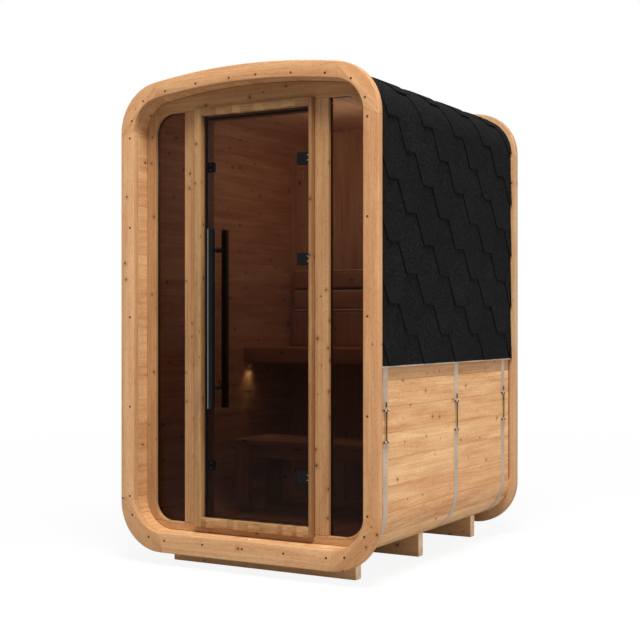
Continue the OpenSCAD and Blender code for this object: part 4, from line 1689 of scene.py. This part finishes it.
    def drip(self) -> None:
        """Makes the thin folded drip edges under the lowest course."""
        low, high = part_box("drip_edges")
        out, inner, e = high.x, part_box("shingle_cover")[1].x - 0.006, self.fold
        outline = [(out - 2 * e, high.z - e), (out - 1.5 * e, low.z), (out - 0.5 * e, low.z)]
        outline += [(out, high.z - e), (out - e, high.z), (inner, high.z), (inner, high.z - e)]
        shape = Shape(196)
        for side in Side:
            shape.prism(side.turn(outline), (low.y, high.y), Along.Y, 0.0002)
        shape.piece("drip_edge_strips", "galvanised", [Finish.ZINC], ["drip_edges"])


# ---------------------------------------------------------------- bands and beams


@dataclass
class Bands:
    """The steel straps and the threaded tensioners that pull them tight."""

    heights: tuple[float, ...] = (0.660, 0.661, 0.671)
    span: float = 0.132
    lug_r: float = 0.006
    lug_split: float = 0.007
    strap_t: float = 0.0012
    ease: float = 0.0003
    fold: float = 0.024
    fold_low: float = 0.004
    rivet_y: float = 0.010
    rod_r: float = 0.0034
    spare: float = 0.034
    pitch: float = 0.0016

    def build(self) -> None:
        """Dresses the straps and makes the tensioners of both sides."""
        shape = Shape(200)
        for place, z in zip(("front", "middle", "rear"), self.heights):
            node = f"{place}_band"
            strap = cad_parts[node].data
            strap.materials.clear()
            strap.materials.append(Finish.ZINC.material)
            low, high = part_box(node)
            for side in Side:
                self.tensioner(shape, side, high.x, (low.y, high.y), z)
        shape.piece("tensioners", "galvanised", [Finish.ZINC, Finish.THREAD], ["band_tensioners"])

    def tensioner(self, shape: Shape, side: Side, face: float, width: Point, z: float) -> None:
        """Adds one tensioner.

        Args:
            shape: The mesh.
            side: Which side of the cabin.
            face: The straps' outer face, as a distance from the middle.
            width: The strap's two edges along Y.
            z: The tensioner's middle height.
        """
        low, high = z - self.span / 2, z + self.span / 2
        way, (y0, y1) = side.value, width
        x, middle, wide = way * (face + self.lug_r), (y0 + y1) / 2, y1 - y0
        skin = way * face + way * self.strap_t * 1.6
        x0, x1 = sorted((way * face, skin))
        barrel = [(0.0042, 0), (0.0046, 0.0006), (0.0046, wide - 0.0016), (0.0042, wide - 0.001)]
        rivet = [(0.0022, 0.0), (0.0022, way * 0.0004), (0.0014, way * 0.0007)]
        for height, up in ((low, -1), (high, 1)):
            for ends in ((y0, middle - self.lug_split), (middle + self.lug_split, y1)):
                self.loop(shape, (x, height), ends)
            # The barrel takes slot 1, the darker thread finish, as painted shade in the loops' open ends.
            shape.turned(barrel, (x, y0 + 0.0005, height), Along.Y, 20, 1)
            z0, z1 = sorted((height + up * self.fold_low, height + up * self.fold))
            shape.board((x0, y0 + 0.0008, z0), (x1, y1 - 0.0008, z1), Along.Y, 0.0004)
            for dy in (-self.rivet_y, self.rivet_y):
                shape.turned(rivet, (skin, middle + dy, height + up * self.fold * 0.7), Along.X, 12)
        self.rod(shape, x, middle, low, high + self.spare)
        nut = (x, middle, high + self.lug_r - 0.001)
        shape.turned([(0.0068, 0), (0.0068, 0.0012)], nut, Along.Z, 20)
        flats = [(0.0058, 0.0013), (0.0066, 0.002), (0.0066, 0.0065), (0.0058, 0.0072)]
        shape.turned(flats, nut, Along.Z, 6)

    def loop(self, shape: Shape, centre: Point, ends: Point) -> None:
        """Adds a part of a strap's end, folded round the barrel.

        Args:
            shape: The mesh.
            centre: The barrel's axis in X and Z.
            ends: The fold's two edges along Y.
        """
        (a, b), r, e = ends, self.lug_r, self.ease
        inner = r - self.strap_t
        profile = [(r - e, a), (r, a + e), (r, b - e), (r - e, b), (inner, b), (inner, a)]
        shape.turned(profile, (centre[0], 0.0, centre[1]), Along.Y, 22, closed=True)

    def rod(self, shape: Shape, x: float, y: float, z0: float, z1: float) -> None:
        """Adds the rod with its thread, as grooves round it.

        Args:
            shape: The mesh.
            x: Where the rod stands.
            y: The same, along Y.
            z0: Its lower end.
            z1: Its upper end.
        """
        height, core, root = z1 - z0, self.rod_r * 0.6, self.rod_r * 0.86
        profile = [(core, 0.0)]
        for base in (i * self.pitch for i in range(int(height / self.pitch))):
            profile += [(root, base + 0.0002), (self.rod_r, base + self.pitch * 0.5)]
        shape.turned([*profile, (root, height - 0.0006), (core, height)], (x, y, z0), Along.Z, 12, 1)


@dataclass
class Beams:
    """The three beams under the tube."""

    edge: float = 0.002

    def build(self) -> None:
        """Makes each beam in its CAD box."""
        for i, place in enumerate(("front", "middle", "rear")):
            node = f"{place}_support_beam"
            low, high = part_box(node)
            shape = Shape(210 + i)
            shape.board(low, high, Along.X, self.edge, 0.4)
            # The end faces take slot 1, the paler painted light.
            shape.reslot(lambda n: abs(n.x) > 0.9)
            shape.piece(f"{place}_beam", "pine", [Finish.BEAM, Finish.END_GRAIN], [node])


# ---------------------------------------------------------------- studio


@dataclass
class Studio:
    """Plain pale floor, soft lamps and the camera."""

    eye: tuple[float, float, float] = (2.968, -5.274, 1.0844)
    heading: float = 29.872
    focal: float = 70.185375
    sensor: float = 36.0
    shift: float = 0.005984375
    reach: float = 200.0
    world: float = 0.48
    key: float = 810.0
    side: float = 88.0
    inside: float = 5.4
    glow: float = 0.9
    lamp_size: float = 3.0
    floor_half: float = 60.0
    near: float = 1.0
    far: float = 9.0

    def build(self) -> None:
        """Makes the floor, the world, the lamps and the camera."""
        bpy.context.scene.view_settings.view_transform = "Standard"
        self.floor()
        self.sky()
        self.soft("key_lamp", (2.3, -3.6, 8.2), (0.0, 0.0, 1.1), self.key)
        self.soft("side_lamp", (5.6, 0.9, 1.6), (0.0, 0.0, 1.0), self.side)
        warm = {"energy": self.inside, "color": (1.0, 0.98, 1.0), "shadow_soft_size": 0.12}
        self.lamp("cabin_lamp", "POINT", (0.1, 0.0, 1.85), (0.0, 0.0, 0.0), warm)
        low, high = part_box("bench_lamp")
        place = ((low.x + high.x) / 2 + 0.004, (low.y + high.y) / 2, low.z - 0.002)
        cone = {"energy": self.glow, "color": (1.0, 0.84, 0.46), "spot_size": 1.9, "spot_blend": 1.0}
        self.lamp("bench_glow", "SPOT", place, (0.0, -0.12, 0.0), {**cone, "shadow_soft_size": 0.003})
        self.camera()

    def lamp(
        self, name: str, kind: str, place: Sequence[float], turn: Sequence[float], settings: dict[str, Any]
    ) -> None:
        """Adds a lamp.

        Args:
            name: Its name.
            kind: AREA, POINT or SPOT.
            place: Where it stands.
            turn: Its rotation.
            settings: Its power and its other properties.
        """
        light = bpy.data.lights.new(name, kind)
        for key, value in settings.items():
            setattr(light, key, value)
        put(name, light, place, turn)

    def soft(self, name: str, place: Sequence[float], aim: Sequence[float], power: float) -> None:
        """Adds a square soft lamp that points at aim."""
        turn = (Vector(aim) - Vector(place)).to_track_quat("-Z", "Y").to_euler()
        self.lamp(name, "AREA", place, turn, {"size": self.lamp_size, "energy": power})

    def sky(self) -> None:
        """Lights evenly from all round, and shows plain white behind the cabin."""
        g = Graph("studio", bpy.data.worlds)
        path = g.node("LightPath", {}).outputs
        shown = g.math("MAXIMUM", path["Is Camera Ray"], path["Is Transmission Ray"])
        level = g.node("MapRange", {"Value": shown, "To Min": self.world, "To Max": 1.0}).outputs[0]
        back = g.node("Background", {"Color": WHITE, "Strength": level}).outputs[0]
        g.node("OutputWorld", {"Surface": back})
        bpy.context.scene.world = g.owner

    def floor(self) -> None:
        """Lays the floor, a little brighter to the eye, with the cabin's shadow kept."""
        g = Graph("studio_floor")
        place = g.place()
        dust = g.spread(g.noise(place, 0.4), 0.3, 0.7, 0.0, 1.0)
        tint = g.blend(dust, seen(172, 172, 172), seen(178, 178, 178))
        matt = g.node("BsdfDiffuse", {"Color": tint}).outputs[0]
        away = g.node("VectorMath", {0: place}, operation="LENGTH").outputs["Value"]
        power = g.spread(away, self.near, self.far, 1.12, 1.0)
        glow = g.node("Emission", {"Color": WHITE, "Strength": power}).outputs[0]
        eye = g.node("LightPath", {}).outputs["Is Camera Ray"]
        share = g.times(eye, g.spread(away, self.near, self.far, 0.8, 1.0))
        mesh = bpy.data.meshes.new("studio_floor")
        corners = ((-1, -1), (1, -1), (1, 1), (-1, 1))
        size = self.floor_half
        mesh.from_pydata([(x * size, y * size, 0) for x, y in corners], [], [(0, 1, 2, 3)])
        mesh.materials.append(g.surface(g.node("MixShader", {0: share, 1: matt, 2: glow})))
        put("studio_floor", mesh)

    def camera(self) -> None:
        """Sets up the camera at eye height, level, with a small shift."""
        camera = bpy.data.cameras.new("camera")
        camera.sensor_width, camera.lens = self.sensor, self.focal
        camera.shift_y, camera.clip_end = self.shift, self.reach
        bpy.context.scene.camera = put("camera", camera, self.eye, (SQUARE, 0.0, math.radians(self.heading)))


def main() -> None:
    """Builds the sub-assemblies in order and reports each piece."""
    logging.basicConfig(level=logging.INFO, format="%(name)s: %(message)s")
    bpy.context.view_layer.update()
    tube = Tube()
    rings = [EndRing(tube, "front_ring", Finish.FRONT_RING), EndRing(tube, "rear_ring", Finish.REAR_RING)]
    walls = [FrontWall(tube), DoorFrame(), BackWall(tube), Door()]
    rest = [Benches(tube), Shingles(tube), Bands(), Beams()]
    for part in (Studio(), TubeBoards(tube), *rings, *walls, *rest):
        part.build()


if __name__ == "__main__":
    main()
